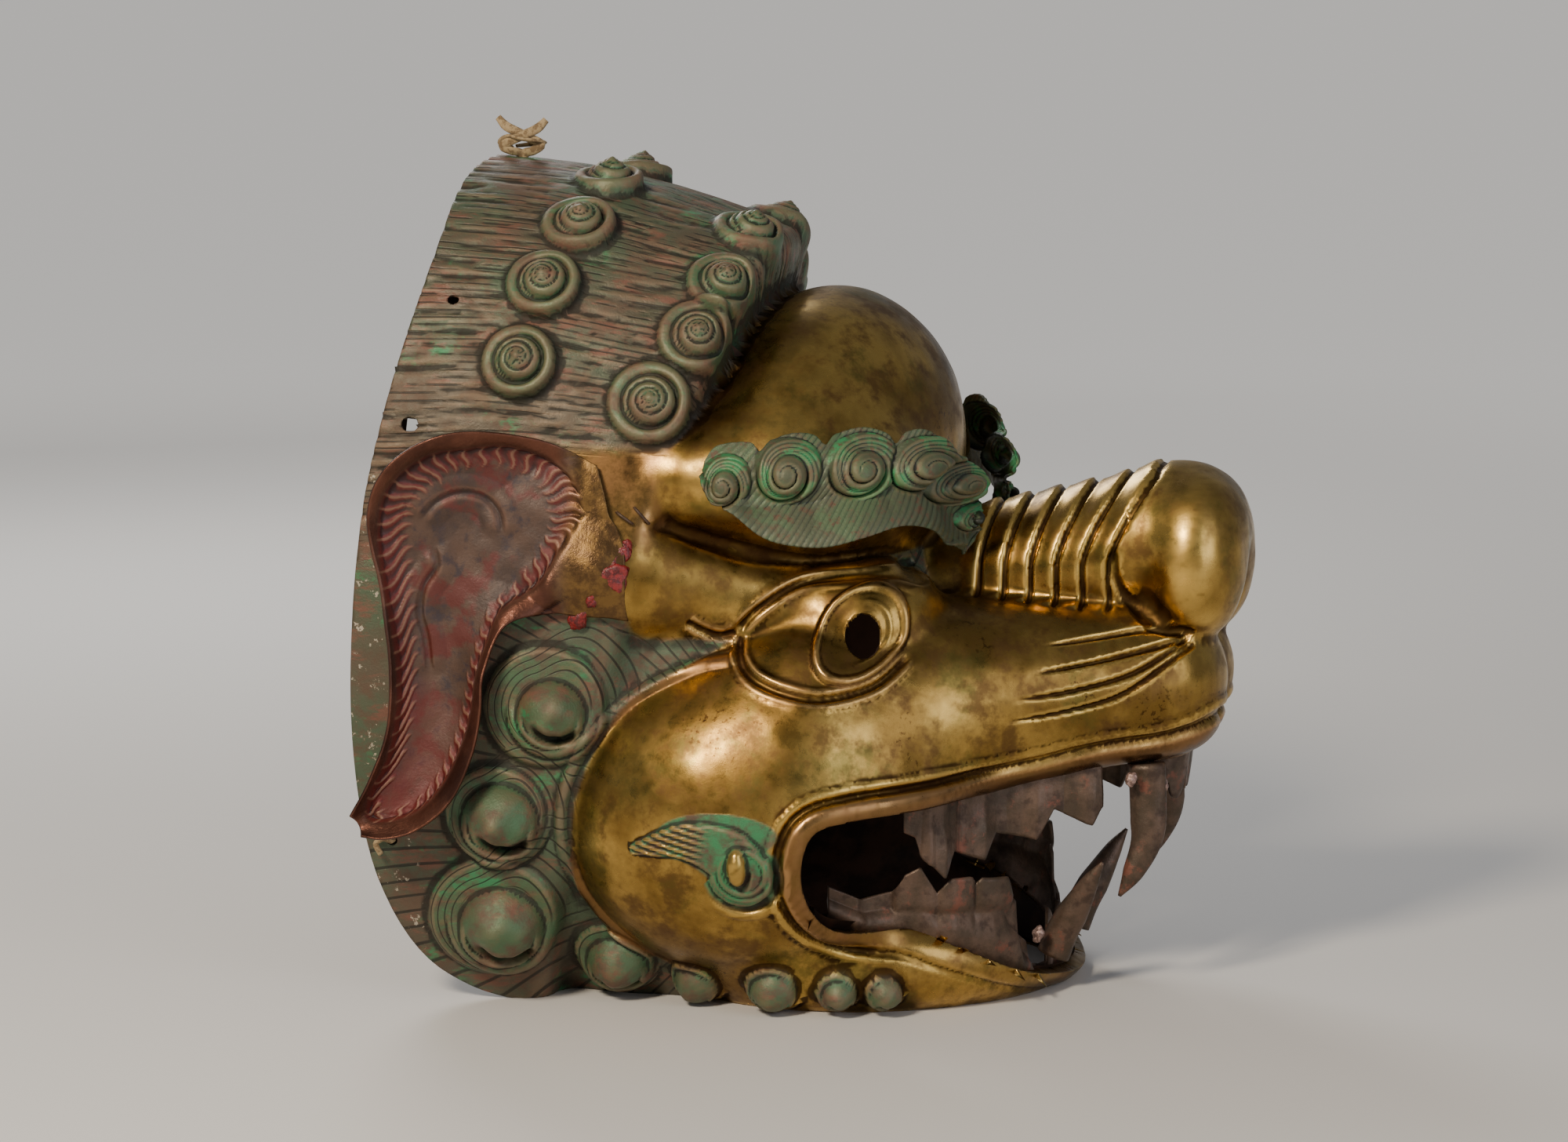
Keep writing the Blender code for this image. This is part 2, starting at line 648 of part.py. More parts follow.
pupil_seat, pupil_out = side_seat(37, 179)
for side, mirror in (("right", 1), ("left", MIRROR)):
    pupil = round_hole("pupil_" + side, pupil_seat * mirror, pupil_out * mirror, PUPIL_WIDTH, PUPIL_HEIGHT)
    cut(head, pupil, pupil.name)
cord_hole = TIE_CORD + 2 * CORD_PLAY
for name, x, z in (("rim_hole_upper", -162, 331), ("rim_hole_lower", -184, 80)):
    at, out = side_seat(x, z)
    cut(head, round_hole(name, at, out, cord_hole, cord_hole), name)
crown_at, crown_out = crown_seat(-166, 0)
cut(head, round_hole("crown_hole", crown_at, crown_out, cord_hole, cord_hole), "crown_hole")

crown_knot = wound_cord(crown_at, TIE_CORD / MM, 2.6)
rod_piece("crown_tie", crown_knot, np.full(len(crown_knot), TIE_CORD / 2 / MM), 1, 6, finishes["cord"])
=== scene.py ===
"""The looks of the snow lion mask: hammered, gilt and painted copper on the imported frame."""
import math

import bmesh
import bpy
import numpy as np
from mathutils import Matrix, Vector


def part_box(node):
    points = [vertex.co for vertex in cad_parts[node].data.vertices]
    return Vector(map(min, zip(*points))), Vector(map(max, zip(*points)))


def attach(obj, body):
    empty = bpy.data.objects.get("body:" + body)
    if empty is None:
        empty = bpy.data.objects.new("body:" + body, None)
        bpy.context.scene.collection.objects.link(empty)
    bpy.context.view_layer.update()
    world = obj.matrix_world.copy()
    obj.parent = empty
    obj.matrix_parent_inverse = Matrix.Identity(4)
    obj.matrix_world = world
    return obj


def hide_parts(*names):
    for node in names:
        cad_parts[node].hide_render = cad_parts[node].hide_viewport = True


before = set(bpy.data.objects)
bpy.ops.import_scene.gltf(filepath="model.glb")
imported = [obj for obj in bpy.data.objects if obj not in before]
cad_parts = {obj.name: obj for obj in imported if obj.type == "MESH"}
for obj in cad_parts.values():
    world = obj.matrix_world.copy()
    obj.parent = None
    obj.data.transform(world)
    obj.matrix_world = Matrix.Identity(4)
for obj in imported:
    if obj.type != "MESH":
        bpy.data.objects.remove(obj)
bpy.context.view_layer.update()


# The head is one bowl of copper sheet, hammered out from inside into crown, brow, eye bands,
# cheeks, nose and jaw. Its form is worked out in 404ths of its length, which are millimetres at
# full size; +X is the nose and the right side is -Y. The carving is drawn as if seen square from
# the side: on the head, each place lies further back the further out it is from the middle.
HEAD_LENGTH = 404.03
head_low, head_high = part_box("head_shell")
MM = (head_high[0] - head_low[0]) / HEAD_LENGTH
HAND = np.array([1, -1, 1])
SWEEP = 0.103
FORESHORTENING = 0.972
MIDDLE = 6.93


def swept_by(y):
    return SWEEP * (np.sqrt(y**2 + 144) - 12)


def on_drawing(points):
    """Points of the head as places on the drawing, with y as their distance from the middle."""
    x, y, z = points.T
    return np.stack([(x - MIDDLE + swept_by(y)) / FORESHORTENING, np.abs(y), z], 1)


def on_head(points):
    """Places on the drawing, with their y, as points of the head."""
    x, y, z = np.array(points, float).T
    return np.stack([MIDDLE + x * FORESHORTENING - swept_by(y), y, z], 1)


def turned(points, yaw):
    a = math.radians(yaw)
    x, y, z = points.T
    return np.stack([x * math.cos(a) + y * math.sin(a), y * math.cos(a) - x * math.sin(a), z], 1)


def ellipsoid(points, centre, radii, yaw=0.0):
    q = turned(points - np.array(centre), yaw)
    radii = np.array(radii, float)
    near = np.linalg.norm(q / radii, axis=1)
    slope = np.linalg.norm(q / radii**2, axis=1)
    return near * (near - 1) / np.maximum(slope, 1e-9)


def arch(points, centre, radii, squareness):
    x, y, z = (np.abs(points - np.array(centre)) / np.array(radii)).T
    section = (y**squareness + z**squareness) ** (2 / squareness)
    return (np.sqrt(x**2 + section) - 1) * min(radii)


def taper(points, start, end, start_radius, end_radius):
    start, end = np.array(start, float), np.array(end, float)
    way = end - start
    t = np.clip(((points - start) @ way) / (way @ way), 0, 1)
    off = points - start - t[:, None] * way
    return np.linalg.norm(off, axis=1) - (start_radius + (end_radius - start_radius) * t)


def join(a, b, fillet):
    h = np.clip(0.5 + 0.5 * (b - a) / fillet, 0, 1)
    return b * (1 - h) + a * h - fillet * h * (1 - h)


def trim(a, b, fillet):
    return -join(-a, -b, fillet)


def head_masses(points):
    """Rough distances to the hair, brow, muzzle, eye band, nose and jaw, both sides alike."""
    p = on_drawing(points)
    x, z = p[:, 0], p[:, 2]
    crown = arch(p, (-205, 0, 165), (330, 138, 229), 2.35)
    hairline = (x + 26) * 0.966 - (z - 350) * 0.26
    skull = ellipsoid(p, (-75, 0, 120), (150, 121, 160))
    hair = join(trim(crown, hairline, 8), skull, 14)
    forehead = ellipsoid(p, (-7, 0, 256), (65, 100, 76))
    temple = ellipsoid(p, (-20, 80, 249), (74, 38, 30), yaw=-8)
    brow = join(forehead, temple, 24)
    cheek = ellipsoid(p, (-22, 80, 93), (96, 71, 80))
    lip_pad = taper(p, (10, 66, 138), (158, 19, 150), 54, 32)
    palate = taper(p, (10, 0, 130), (140, 0, 150), 72, 40)
    muzzle = join(join(cheek, lip_pad, 34), palate, 24)
    eye_band = taper(p, (-92, 99, 207), (20, 68, 181), 35, 25)
    eyeball = ellipsoid(p, (26, 64, 180), (40, 38, 30), yaw=-18)
    eye = join(eye_band, eyeball, 10)
    bridge = taper(p, (55, 0, 189), (150, 0, 211), 36, 36)
    nose_tip = ellipsoid(p, (168, 0, 220), (32, 36, 32))
    nostril = ellipsoid(p, (178, 19, 207), (23, 27, 38))
    nose = join(join(bridge, nose_tip, 12), nostril, 8)
    jaw = trim(ellipsoid(p, (12, 0, 22), (113, 112, 46)), -(z + 6), 8)
    return hair, brow, muzzle, eye, nose, jaw


def head_form(points):
    hair, brow, muzzle, eye, nose, jaw = head_masses(points)
    form = join(join(join(join(join(hair, brow, 6), muzzle, 5), eye, 5), nose, 6), jaw, 12)
    return trim(trim(form, -(points[:, 0] + 222), 6), -(points[:, 2] + 16), 6)


def slopes(points, step=0.3):
    """Unit normals of the head's form."""
    found = np.empty_like(points)
    for axis in range(3):
        move = np.zeros(3)
        move[axis] = step
        found[:, axis] = head_form(points + move) - head_form(points - move)
    return found / np.maximum(np.linalg.norm(found, axis=1, keepdims=True), 1e-9)


def seat(points, rounds=3, height=0.0):
    """Moves points along the slope until they lie height above the head's form."""
    for _ in range(rounds):
        out = slopes(points)
        gap = head_form(points) - height
        rise = np.maximum((head_form(points + out * 0.3) - gap - height) / 0.3, 0.3)
        points = points - out * (gap / rise)[:, None]
    return points


def march(starts, directions):
    p, directions = np.array(starts, float), np.array(directions, float)
    for _ in range(90):
        p += directions * np.clip(head_form(p) * 0.8, -6, 9)[:, None]
    return p


def drop_on(start, aim):
    """The point met on the way from one place on the drawing to another, and its normal."""
    first, second = on_head([start, aim])
    p = march([first], [(second - first) / np.linalg.norm(second - first)])
    return p[0], slopes(p)[0]


def side_seat(x, z):
    return drop_on((x, -190, z), (x, -60, z))


def crown_seat(x, lean):
    """The point of the crown at x, lean degrees off the vertical to the right, and its normal."""
    a = math.radians(lean)
    out = np.array([0, -math.sin(a), math.cos(a)])
    return drop_on((x, 0, 230) + out * 190, (x, 0, 230) + out * 60)


def smooth_line(points, steps=8, closed=False):
    """A curve through the points, with steps pieces between each two; closed ones end where they start."""
    p = np.array(points, float)
    p = np.vstack([p[-1], p, p[:2]]) if closed else np.vstack([2 * p[0] - p[1], p, 2 * p[-1] - p[-2]])
    t = np.linspace(0, 1, steps, endpoint=False)[:, None]
    runs = []
    for a, b, c, d in zip(p, p[1:], p[2:], p[3:]):
        runs.append(b + 0.5 * t * (c - a + t * (2 * a - 5 * b + 4 * c - d + t * (3 * (b - c) + d - a))))
    runs.append(runs[0][:1] if closed else p[-2][None])
    return np.vstack(runs)


def line_distance(q, line):
    """How far each point is from a line, and the share of the line's length at its nearest place."""
    found, share = np.full(len(q), 1e9), np.zeros(len(q))
    run = np.concatenate([[0], np.cumsum(np.linalg.norm(np.diff(line, axis=0), axis=1))])
    for a, b, start in zip(line, line[1:], run):
        way = b - a
        t = np.clip((q - a) @ way / max(way @ way, 1e-9), 0, 1)
        off = np.linalg.norm(q - a - t[:, None] * way, axis=1)
        nearer = off < found
        found[nearer] = off[nearer]
        share[nearer] = ((start + t * np.linalg.norm(way)) / run[-1])[nearer]
    return found, share


def inside(q, line):
    """True for each point within a closed line."""
    crossings = np.zeros(len(q), int)
    for (ax, az), (bx, bz) in zip(line, line[1:]):
        spans = (az > q[:, 1]) != (bz > q[:, 1])
        at = ax + (q[:, 1] - az) * (bx - ax) / (bz - az if bz != az else 1e-9)
        crossings += spans & (q[:, 0] < at)
    return crossings % 2 == 1


def ease(low, high, value):
    t = np.clip((value - low) / (high - low), 0, 1)
    return t * t * (3 - 2 * t)


def bell(value):
    return np.exp(-(value**2))


def roll(value):
    """A half-round section: 1 in the middle, 0 at plus and minus 1."""
    return np.sqrt(np.clip(1 - value**2, 0, 1))


def ripple(points, size, seed):
    """Smooth hand-made unevenness between about -1 and 1, with swells of the given size."""
    rng = np.random.default_rng(seed)
    total = np.zeros(len(points))
    for _ in range(9):
        way = rng.normal(size=3)
        way *= 2 * math.pi / size * rng.uniform(0.6, 1.4) / np.linalg.norm(way)
        total += np.sin(points @ way + rng.uniform(0, 6.28))
    return total / 4


def groove(distance, width, share=None):
    """A chased line: 1 at its middle, 0 past its half-width, and fading towards its ends."""
    depth = np.clip(1 - (distance / width) ** 2, 0, 1)
    return depth if share is None else depth * ease(0, 0.12, share) * ease(0, 0.12, 1 - share)


# Where the sheet is cut: round the mouth, along the back edge and flat at the base, in side view
MOUTH = smooth_line(
    [(20, 66), (24, 91), (40, 98), (75, 101), (108, 106), (140, 113), (165, 116), (184, 121), (225, 136),
     (250, 90), (220, 20), (150, -2), (124, 5), (111, 12), (91, 25), (73, 34), (58, 40), (30, 46)],
    6, closed=True)
BACK_EDGE = smooth_line(
    [(-178, 395), (-176, 351), (-187, 287), (-196, 233), (-200.8, 165), (-200, 110), (-193, 62), (-177, 25),
     (-155, 6), (-125, -3)], 5)
OUTSIDE = np.vstack([BACK_EDGE, [(-113, -1.5), (-108, 0), (300, 0), (300, -60), (-300, -60), (-300, 460),
                                 (-178, 460), (-178, 395)]])

# Snail curls of the hair: x, lean on the crown and radius; and of the mane: x, z, boss and lock radius
HAIR_CURLS = [(-126, 57, 17), (-121, 41, 17), (-113, 27, 17), (-112, 11, 16),
              (-64, 63, 19), (-47, 47, 18), (-41, 33, 17), (-40, 15, 17)]
MANE_CURLS = [(-104, 143, 16, 29), (-130, 92, 18, 24), (-134, 40, 20, 32), (-85, 20, 15, 20),
              (-44, 13, 11, 13), (-3, 13, 11, 13), (28, 12, 8, 10), (49, 12, 8, 9)]


def curl_axes(normal, ahead):
    ahead = np.array(ahead, float) - normal * (normal @ np.array(ahead, float))
    ahead /= np.linalg.norm(ahead)
    return ahead, np.cross(normal, ahead)


def whorl(r, angle, shrink):
    """Where a place lies across the spiral roll of a shell: 0 and 1 at its furrows."""
    return (np.log(np.maximum(r, 0.03)) / math.log(shrink) + angle / (2 * math.pi)) % 1


def hair_curl(points, at, out, radius):
    """Rise and cover of a hair curl: a thick roll, open to the upper back, round a pointed snail."""
    ahead, side = curl_axes(out, (1, 0, -0.35))
    off = points - at
    deep, u, v = off @ out, off @ ahead, off @ side
    r, angle = np.hypot(u, v) / radius, np.arctan2(v, u)
    near = ease(1.7, 0.9, np.abs(deep) / radius)
    drum = 1 - ease(0.94, 1.12, r)
    outer_roll = roll((r - 0.84) / 0.2) * (0.45 + 0.55 * ease(-0.9, 0.3, np.cos(angle)))
    snail = r / 0.66
    wind = whorl(snail, angle, 0.6)
    furrow = bell(np.minimum(wind, 1 - wind) / 0.17) * ease(0.05, 0.16, snail)
    body = 2.5 + 7.5 * np.clip(1 - snail, 0, 1) ** 0.8 - 2.1 * furrow * np.minimum(snail + 0.25, 1)
    moat = bell((r - 0.68) / 0.05) * (0.3 + 0.7 * ease(-0.8, 0.5, np.cos(angle)))
    rise = (3.2 + 1.6 * u / radius) * drum + 3.6 * outer_roll + body * ease(1.04, 0.9, snail) - 2.6 * moat
    return rise * near, drum * near


def mane_curl(points, at, out, radius, lock):
    """Rise of a mane curl, a boss with a hook cut under it on a ringed lock; its cover and rings."""
    ahead, side = curl_axes(out, (1, 0, 0))
    off = points - at
    deep, u, v = off @ out, off @ ahead, off @ side
    near = ease(1.5, 1.1, np.abs(deep) / lock)
    reach, angle = np.hypot(u + 0.12 * lock, v - 0.1 * lock), np.arctan2(v, u)
    cover = 1 - ease(0.9, 1.03, reach / lock)
    r = np.hypot(u, v) / radius
    under = ease(-3.0, -1.7, angle) * ease(-0.4, -0.95, angle)
    dome = np.clip(1 - r**1.7, 0, 1) ** 0.7 * radius * 0.86 * (1 + 0.08 * ripple(points, 16, 8))
    arm = roll((r - 1.06) / 0.24) * radius * 0.26 * ease(-0.3, 0.6, np.cos(angle + 1.7))
    hook = bell((r - 0.7 - 0.18 * np.sin(angle + 1.7)) / 0.13) * under * radius * 0.6
    pit = bell(np.hypot(u - 0.1 * radius, v + 0.68 * radius) / (0.17 * radius)) * radius * 0.2
    reach = reach * (1 - 0.4 * ease(0.1, 0.9, np.cos(angle - 0.5)))
    rings = ease(1.02, 0.98, reach / lock) * ease(1.0, 1.2, r) * ease(0.75, 0.3, np.cos(angle + 0.9))
    return (dome + arm + 3.2 * cover - hook - pit) * near, cover * near, rings * near, reach


# Chased lines of the face, in side view: eyelids, corner fold, cheek border, whiskers and band edge
EYELIDS = smooth_line([(-22, 180), (-10, 192), (6, 202), (28, 205), (46, 205), (60, 199)], 5)
LOWER_LID = smooth_line([(-22, 179), (-16, 167), (-3, 159), (22, 153), (45, 157), (58, 170)], 5)
CORNER_FOLD = smooth_line([(-44, 185), (-38, 181), (-30, 178), (-22, 180)], 5)
CHEEK_BEAD = smooth_line([(-10, 171), (-40, 164), (-72, 147), (-95, 117), (-102, 87), (-96, 56), (-80, 36),
                          (-60, 22)], 6)
WHISKERS = [smooth_line(line, 6) for line in (
    [(112, 171), (137, 174), (160, 177), (178, 175)], [(110, 159), (135, 163), (158, 168), (176, 173)],
    [(102, 147), (130, 151), (155, 158), (176, 171)], [(97, 137), (125, 141), (152, 149), (178, 169)])]
WING_FOLD = smooth_line([(140, 216), (141, 200), (150, 186), (166, 177), (180, 176)], 6)
BAND_EDGE = smooth_line([(-66, 232), (-44, 222), (-18, 213), (12, 211), (40, 213)], 6)
CHEEK_SPOT = smooth_line([(-7, 74), (-14, 84), (-34, 89), (-58, 84)], 6)


def carving(seated):
    """The raised and chased work: the seated points moved, and the covers that the finish reads."""
    points = seated * [1, 0, 1] - np.abs(seated) * [0, 1, 0]
    out = slopes(points)
    drawn = on_drawing(points)
    side = drawn[:, [0, 2]]
    x, y, z = drawn.T * [[1], [-1], [1]]
    hair, *others = head_masses(points)
    in_hair = ease(-1.5, 1.5, np.min(others, axis=0) - hair)
    rise = 0.35 * ripple(seated, 46, 3) + 0.12 * ripple(seated, 17, 4)
    paint = in_hair.copy()
    red = np.zeros(len(points))
    # Streaks of the crown run from the hairline to the back edge; the mane's locks fan out from the cheek
    across = np.arctan2(-y, np.maximum(z - 215, 1)) * 128
    drift = 0.9 * ripple(np.stack([x, across * 2, 0 * x], 1), 110, 5)
    streaks = np.zeros(len(points))
    for pitch, depth, reach, seed in ((7.4, 1.0, 10, 11), (4.1, 0.7, 7, 12), (2.6, 0.25, 16, 13)):
        phase = across / pitch + drift * 4 / pitch
        row = np.floor(phase)
        start = np.sin(row * 78.233 + seed) * 43758.5 % 6.28
        dash = ease(-0.25, 0.8, np.sin(x / (reach + 3 * np.sin(row * 12.99)) + start))
        streaks += depth * dash * bell((phase % 1 - 0.5) / 0.2)
    fan = np.arctan2(z - 88, -(x - 28)) * 180 / math.pi
    fan_phase = fan / 2.5 + 0.5 * ripple(points, 90, 6)
    on_crown = ease(205, 228, z)
    by_ear = ease(268, 260, z) * ease(-120, -108, x) * (z > 215)
    covered, ringed, ring_phase = np.zeros((3, len(points)))
    bosses = np.zeros((len(points), 3))
    for x_seat, lean, radius in HAIR_CURLS:
        at, way = crown_seat(x_seat, lean)
        lift, cover = hair_curl(points, at, way, radius)
        bosses += way * lift[:, None]
        covered = np.maximum(covered, cover)
    for x_seat, z_seat, radius, lock in MANE_CURLS:
        at, way = side_seat(x_seat, z_seat)
        lift, cover, rings, reach = mane_curl(points, at, way, radius, lock)
        bosses += way * lift[:, None]
        covered = np.maximum(covered, cover)
        ring_phase = np.where(rings > 0, reach / 3.3, ring_phase)
        ringed = np.maximum(ringed, rings)
    paint = np.maximum(paint, covered)
    by_ear = by_ear * (1 - covered)
    locks = in_hair * (1 - covered) * (1 - by_ear)
    rise -= streaks * on_crown * locks
    # The bridge of the nose: flat pleats, each lifted at its front edge above a narrow furrow
    lean = np.clip((z - 205) / 42, 0, 1) ** 1.3
    fold = (x - 75 - 6 * lean) / (12.6 * (1 + 0.22 * lean))
    on_bridge = ease(-0.9, -0.6, fold) * (1 - ease(5.05, 5.2, fold))
    on_bridge *= ease(182, 187, z) * (1 - ease(39, 43, -y))
    t = fold % 1
    drop = ease(0.83, 0.93, t) + 1 - ease(0, 0.11, t)
    rise += on_bridge * (1.5 * ease(0.1, 0.8, t) * (1 - ease(0.83, 0.93, t)) - 1.5 * drop)
    # Lips: a rolled bead at the cut, a furrow and a thin ridge above it
    lip, _ = line_distance(side, MOUTH)
    chin = ease(30, 60, x) * ease(60, 45, z)
    bead = roll((lip - 4.2) / 5.2)
    rise += (1 - 0.6 * chin) * (3.6 * bead - 1.4 * groove(lip - 10.6, 2.6))
    rise += (1 - chin) * 1.2 * groove(lip - 14.4, 2.6)
    red = np.maximum(red, (1 - ease(7.5, 9.5, lip)) * (0.75 - 0.5 * chin))
    # The eye
    at_eye = (y < -38) * 1.0
    for line, width, depth in ((EYELIDS, 2.2, 1.8), (LOWER_LID, 2.2, 1.7), (CORNER_FOLD, 2.0, 1.3)):
        away, share = line_distance(side, line)
        ends = ease(0, 0.06, share) * (1 - ease(0.94, 1, share))
        rise += at_eye * ends * (0.8 * groove(away - 3.4, 2.0) - depth * groove(away, width))
        red = np.maximum(red, at_eye * ends * groove(away - 3.2, 1.8) * 0.5)
    iris = np.hypot((x - 35.5 - 0.12 * (z - 180)) / 18.5, (z - 180) / 20.5)
    rise += at_eye * (1.2 * ease(1.12, 1.02, iris) + 1.6 * groove(iris - 0.98, 0.1))
    rise -= at_eye * 0.9 * ease(0.9, 0.55, iris)
    rise += at_eye * 0.5 * groove(iris - 0.68, 0.07) * ease(-0.3, 0.5, (x - 35.5) / 18)
    red = np.maximum(red, at_eye * groove(iris - 1.0, 0.09) * 0.5)
    # Chased lines of the muzzle, the cheek's border and the eye band
    for line in WHISKERS:
        away, share = line_distance(side, line)
        rise -= (y < 0) * 1.9 * groove(away, 2.2 * (0.35 + 0.65 * share)) * ease(0, 0.25, share)
    away, share = line_distance(side, WING_FOLD)
    rise -= 2.0 * groove(away, 3.0, share) * (np.abs(y) < 60)
    away, share = line_distance(side, BAND_EDGE)
    rise -= 0.9 * groove(away, 2.0, share) * (y < -70)
    away, share = line_distance(side, CHEEK_BEAD)
    rise += 2.4 * groove(away, 3.6, share) * (y < -80)
    red = np.maximum(red, 0.8 * ease(4.6, 3.2, away) * (y < -80) * ease(0, 0.1, share))
    # The comma-shaped spot on the cheek: a curl with a tall knob, its tail of fine flames swept back
    on_cheek = (y < -90) * 1.0
    away, share = line_distance(side, CHEEK_SPOT)
    width = 16 - 13 * share
    spot = (1 - ease(0.86, 1.0, away / width)) * on_cheek
    knob = np.hypot((x + 8) / 4.6, (z - 79) / 9)
    swirl, turn = np.hypot(x + 6, z - 76), np.arctan2(z - 76, x + 6)
    below = ease(0.0, 0.8, np.cos(turn + 1.1))
    rise += spot * (2.6 + 1.2 * ease(14, 9, swirl)) + 5.5 * on_cheek * roll(knob)
    rise -= on_cheek * below * (2.2 * groove(away / width - 1.06, 0.16) + 2.0 * groove(knob - 1.12, 0.3))
    rise += on_cheek * below * 0.9 * groove(away / width - 1.3, 0.16)
    flames = ((z - 88) + 0.25 * (x + 34)) / 3.1
    rise += spot * ease(0.3, 0.55, share) * 0.9 * np.cos(2 * np.pi * flames)
    rings = np.cos(2 * np.pi * swirl / 3.4) * ease(7.5, 9, swirl) * ease(0.3, 0.1, share)
    rise += spot * 0.45 * rings
    upper_patch = np.hypot((x + 18) / 30, (z - 92) / 11)
    fresh = np.minimum(2 - ease(1.05, 1.25, away / width) - ease(0.9, 1.0, upper_patch), 1) * on_cheek
    flame_ridges = spot * ease(0.35, 0.6, share) * ease(0.1, 0.7, np.cos(2 * np.pi * flames))
    rubbed = on_cheek * np.maximum(ease(1.05, 0.8, knob), flame_ridges)
    red = np.maximum(red, 0.7 * by_ear * in_hair)
    paint = np.clip(np.maximum(paint * (1 - by_ear), fresh) - 0.9 * rubbed, 0, 1)
    moved = points + out * rise[:, None] + bosses
    back = np.where(seated[:, 1:2] > 0, HAND, 1)
    fans = locks * (1 - on_crown) * (1 - ringed) * np.maximum(ease(-172, -160, x), ease(104, 92, z))
    return moved * back, {
        "paint": paint, "red": np.clip(red, 0, 1),
        "hair": in_hair, "fresh": np.maximum(fresh, 0.35 * covered),
        "chips": ease(-168, -177, x) * ease(268, 250, z) * in_hair,
        "streak_cover": locks * on_crown, "fan_cover": fans, "ring_cover": ringed * in_hair,
        "streak_phase": across / 2.9 + drift, "fan_phase": fan_phase, "ring_phase": ring_phase}


def coordinates(mesh):
    found = np.empty(len(mesh.vertices) * 3)
    mesh.vertices.foreach_get("co", found)
    return found.reshape(-1, 3)


def place(mesh, points):
    mesh.vertices.foreach_set("co", np.ascontiguousarray(points, np.float32).ravel())
    mesh.update()


def mesh_of(bm, name):
    mesh = bpy.data.meshes.new(name)
    bm.to_mesh(mesh)
    bm.free()
    return mesh


def add_piece(name, mesh):
    made = bpy.data.objects.new(name, mesh)
    bpy.context.scene.collection.objects.link(made)
    mesh.polygons.foreach_set("use_smooth", [True] * len(mesh.polygons))
    return made


def pressed_skin(voxel):
    """A closed even mesh pressed onto the head's form, in its own units."""
    bm = bmesh.new()
    bmesh.ops.create_icosphere(bm, subdivisions=6, radius=1.0)
    mesh = mesh_of(bm, "pressed_ball")
    out = coordinates(mesh)
    place(mesh, march(np.array([-23.0, 0, 140]) + out * 430, -out))
    ball = add_piece("pressed_ball", mesh)
    even = ball.modifiers.new("even", "REMESH")
    even.mode = "VOXEL"
    even.voxel_size = voxel
    graph = bpy.context.evaluated_depsgraph_get()
    skin = bpy.data.meshes.new_from_object(ball.evaluated_get(graph))
    bpy.data.objects.remove(ball)
    return skin


def cut_open(mesh):
    """Takes away what lies past the cuts and slides the last vertices onto the cut lines."""
    for line in (MOUTH, OUTSIDE):
        beyond = inside(on_drawing(coordinates(mesh))[:, [0, 2]], line)
        bm = bmesh.new()
        bm.from_mesh(mesh)
        bm.verts.ensure_lookup_table()
        gone = [f for f in bm.faces if all(beyond[v.index] for v in f.verts)]
        bmesh.ops.delete(bm, geom=gone, context="FACES")
        bm.to_mesh(mesh)
        bm.free()
        p = coordinates(mesh)
        late = np.nonzero(inside(on_drawing(p)[:, [0, 2]], line))[0]
        for turn in range(4):
            at = nearest_on(on_drawing(p[late])[:, [0, 2]], line)
            p[late] = on_head(np.stack([at[:, 0], p[late, 1], at[:, 1]], 1))
            if turn < 3:
                p[late] = seat(p[late], 1)
        place(mesh, p)


def nearest_on(q, line):
    best, where = np.full(len(q), 1e9), q.copy()
    for a, b in zip(line, line[1:]):
        way = b - a
        t = np.clip((q - a) @ way / max(way @ way, 1e-9), 0, 1)
        at = a + t[:, None] * way
        off = np.linalg.norm(q - at, axis=1)
        nearer = off < best
        best[nearer], where[nearer] = off[nearer], at[nearer]
    return where


def set_cover(mesh, name, values):
    layer = mesh.attributes.new(name, "FLOAT", "POINT")
    layer.data.foreach_set("value", np.ascontiguousarray(values, np.float32))


def hollows(mesh, points, rounds=3):
    """How far each point lies in a dip of the surface, seen over a few of the mesh's own spacings."""
    edges = np.empty(len(mesh.edges) * 2, int)
    mesh.edges.foreach_get("vertices", edges)
    a, b = edges.reshape(-1, 2).T
    count = np.maximum(np.bincount(a, minlength=len(points)) + np.bincount(b, minlength=len(points)), 1)
    level = points.copy()
    for _ in range(rounds):
        total = np.stack([np.bincount(a, level[b, i], len(points)) + np.bincount(b, level[a, i], len(points))
                          for i in range(3)], 1)
        level = 0.5 * level + 0.5 * total / count[:, None]
    normals = np.empty(len(points) * 3)
    mesh.vertices.foreach_get("normal", normals)
    return ((level - points) * normals.reshape(-1, 3)).sum(1)


def refined(mesh, wanted):
    """Halves the mesh's spacing between the points that are wanted finer."""
    bm = bmesh.new()
    bm.from_mesh(mesh)
    bm.verts.ensure_lookup_table()
    edges = [e for e in bm.edges if wanted[e.verts[0].index] and wanted[e.verts[1].index]]
    bmesh.ops.subdivide_edges(bm, edges=edges, cuts=1, use_grid_fill=True)
    bm.to_mesh(mesh)
    bm.free()


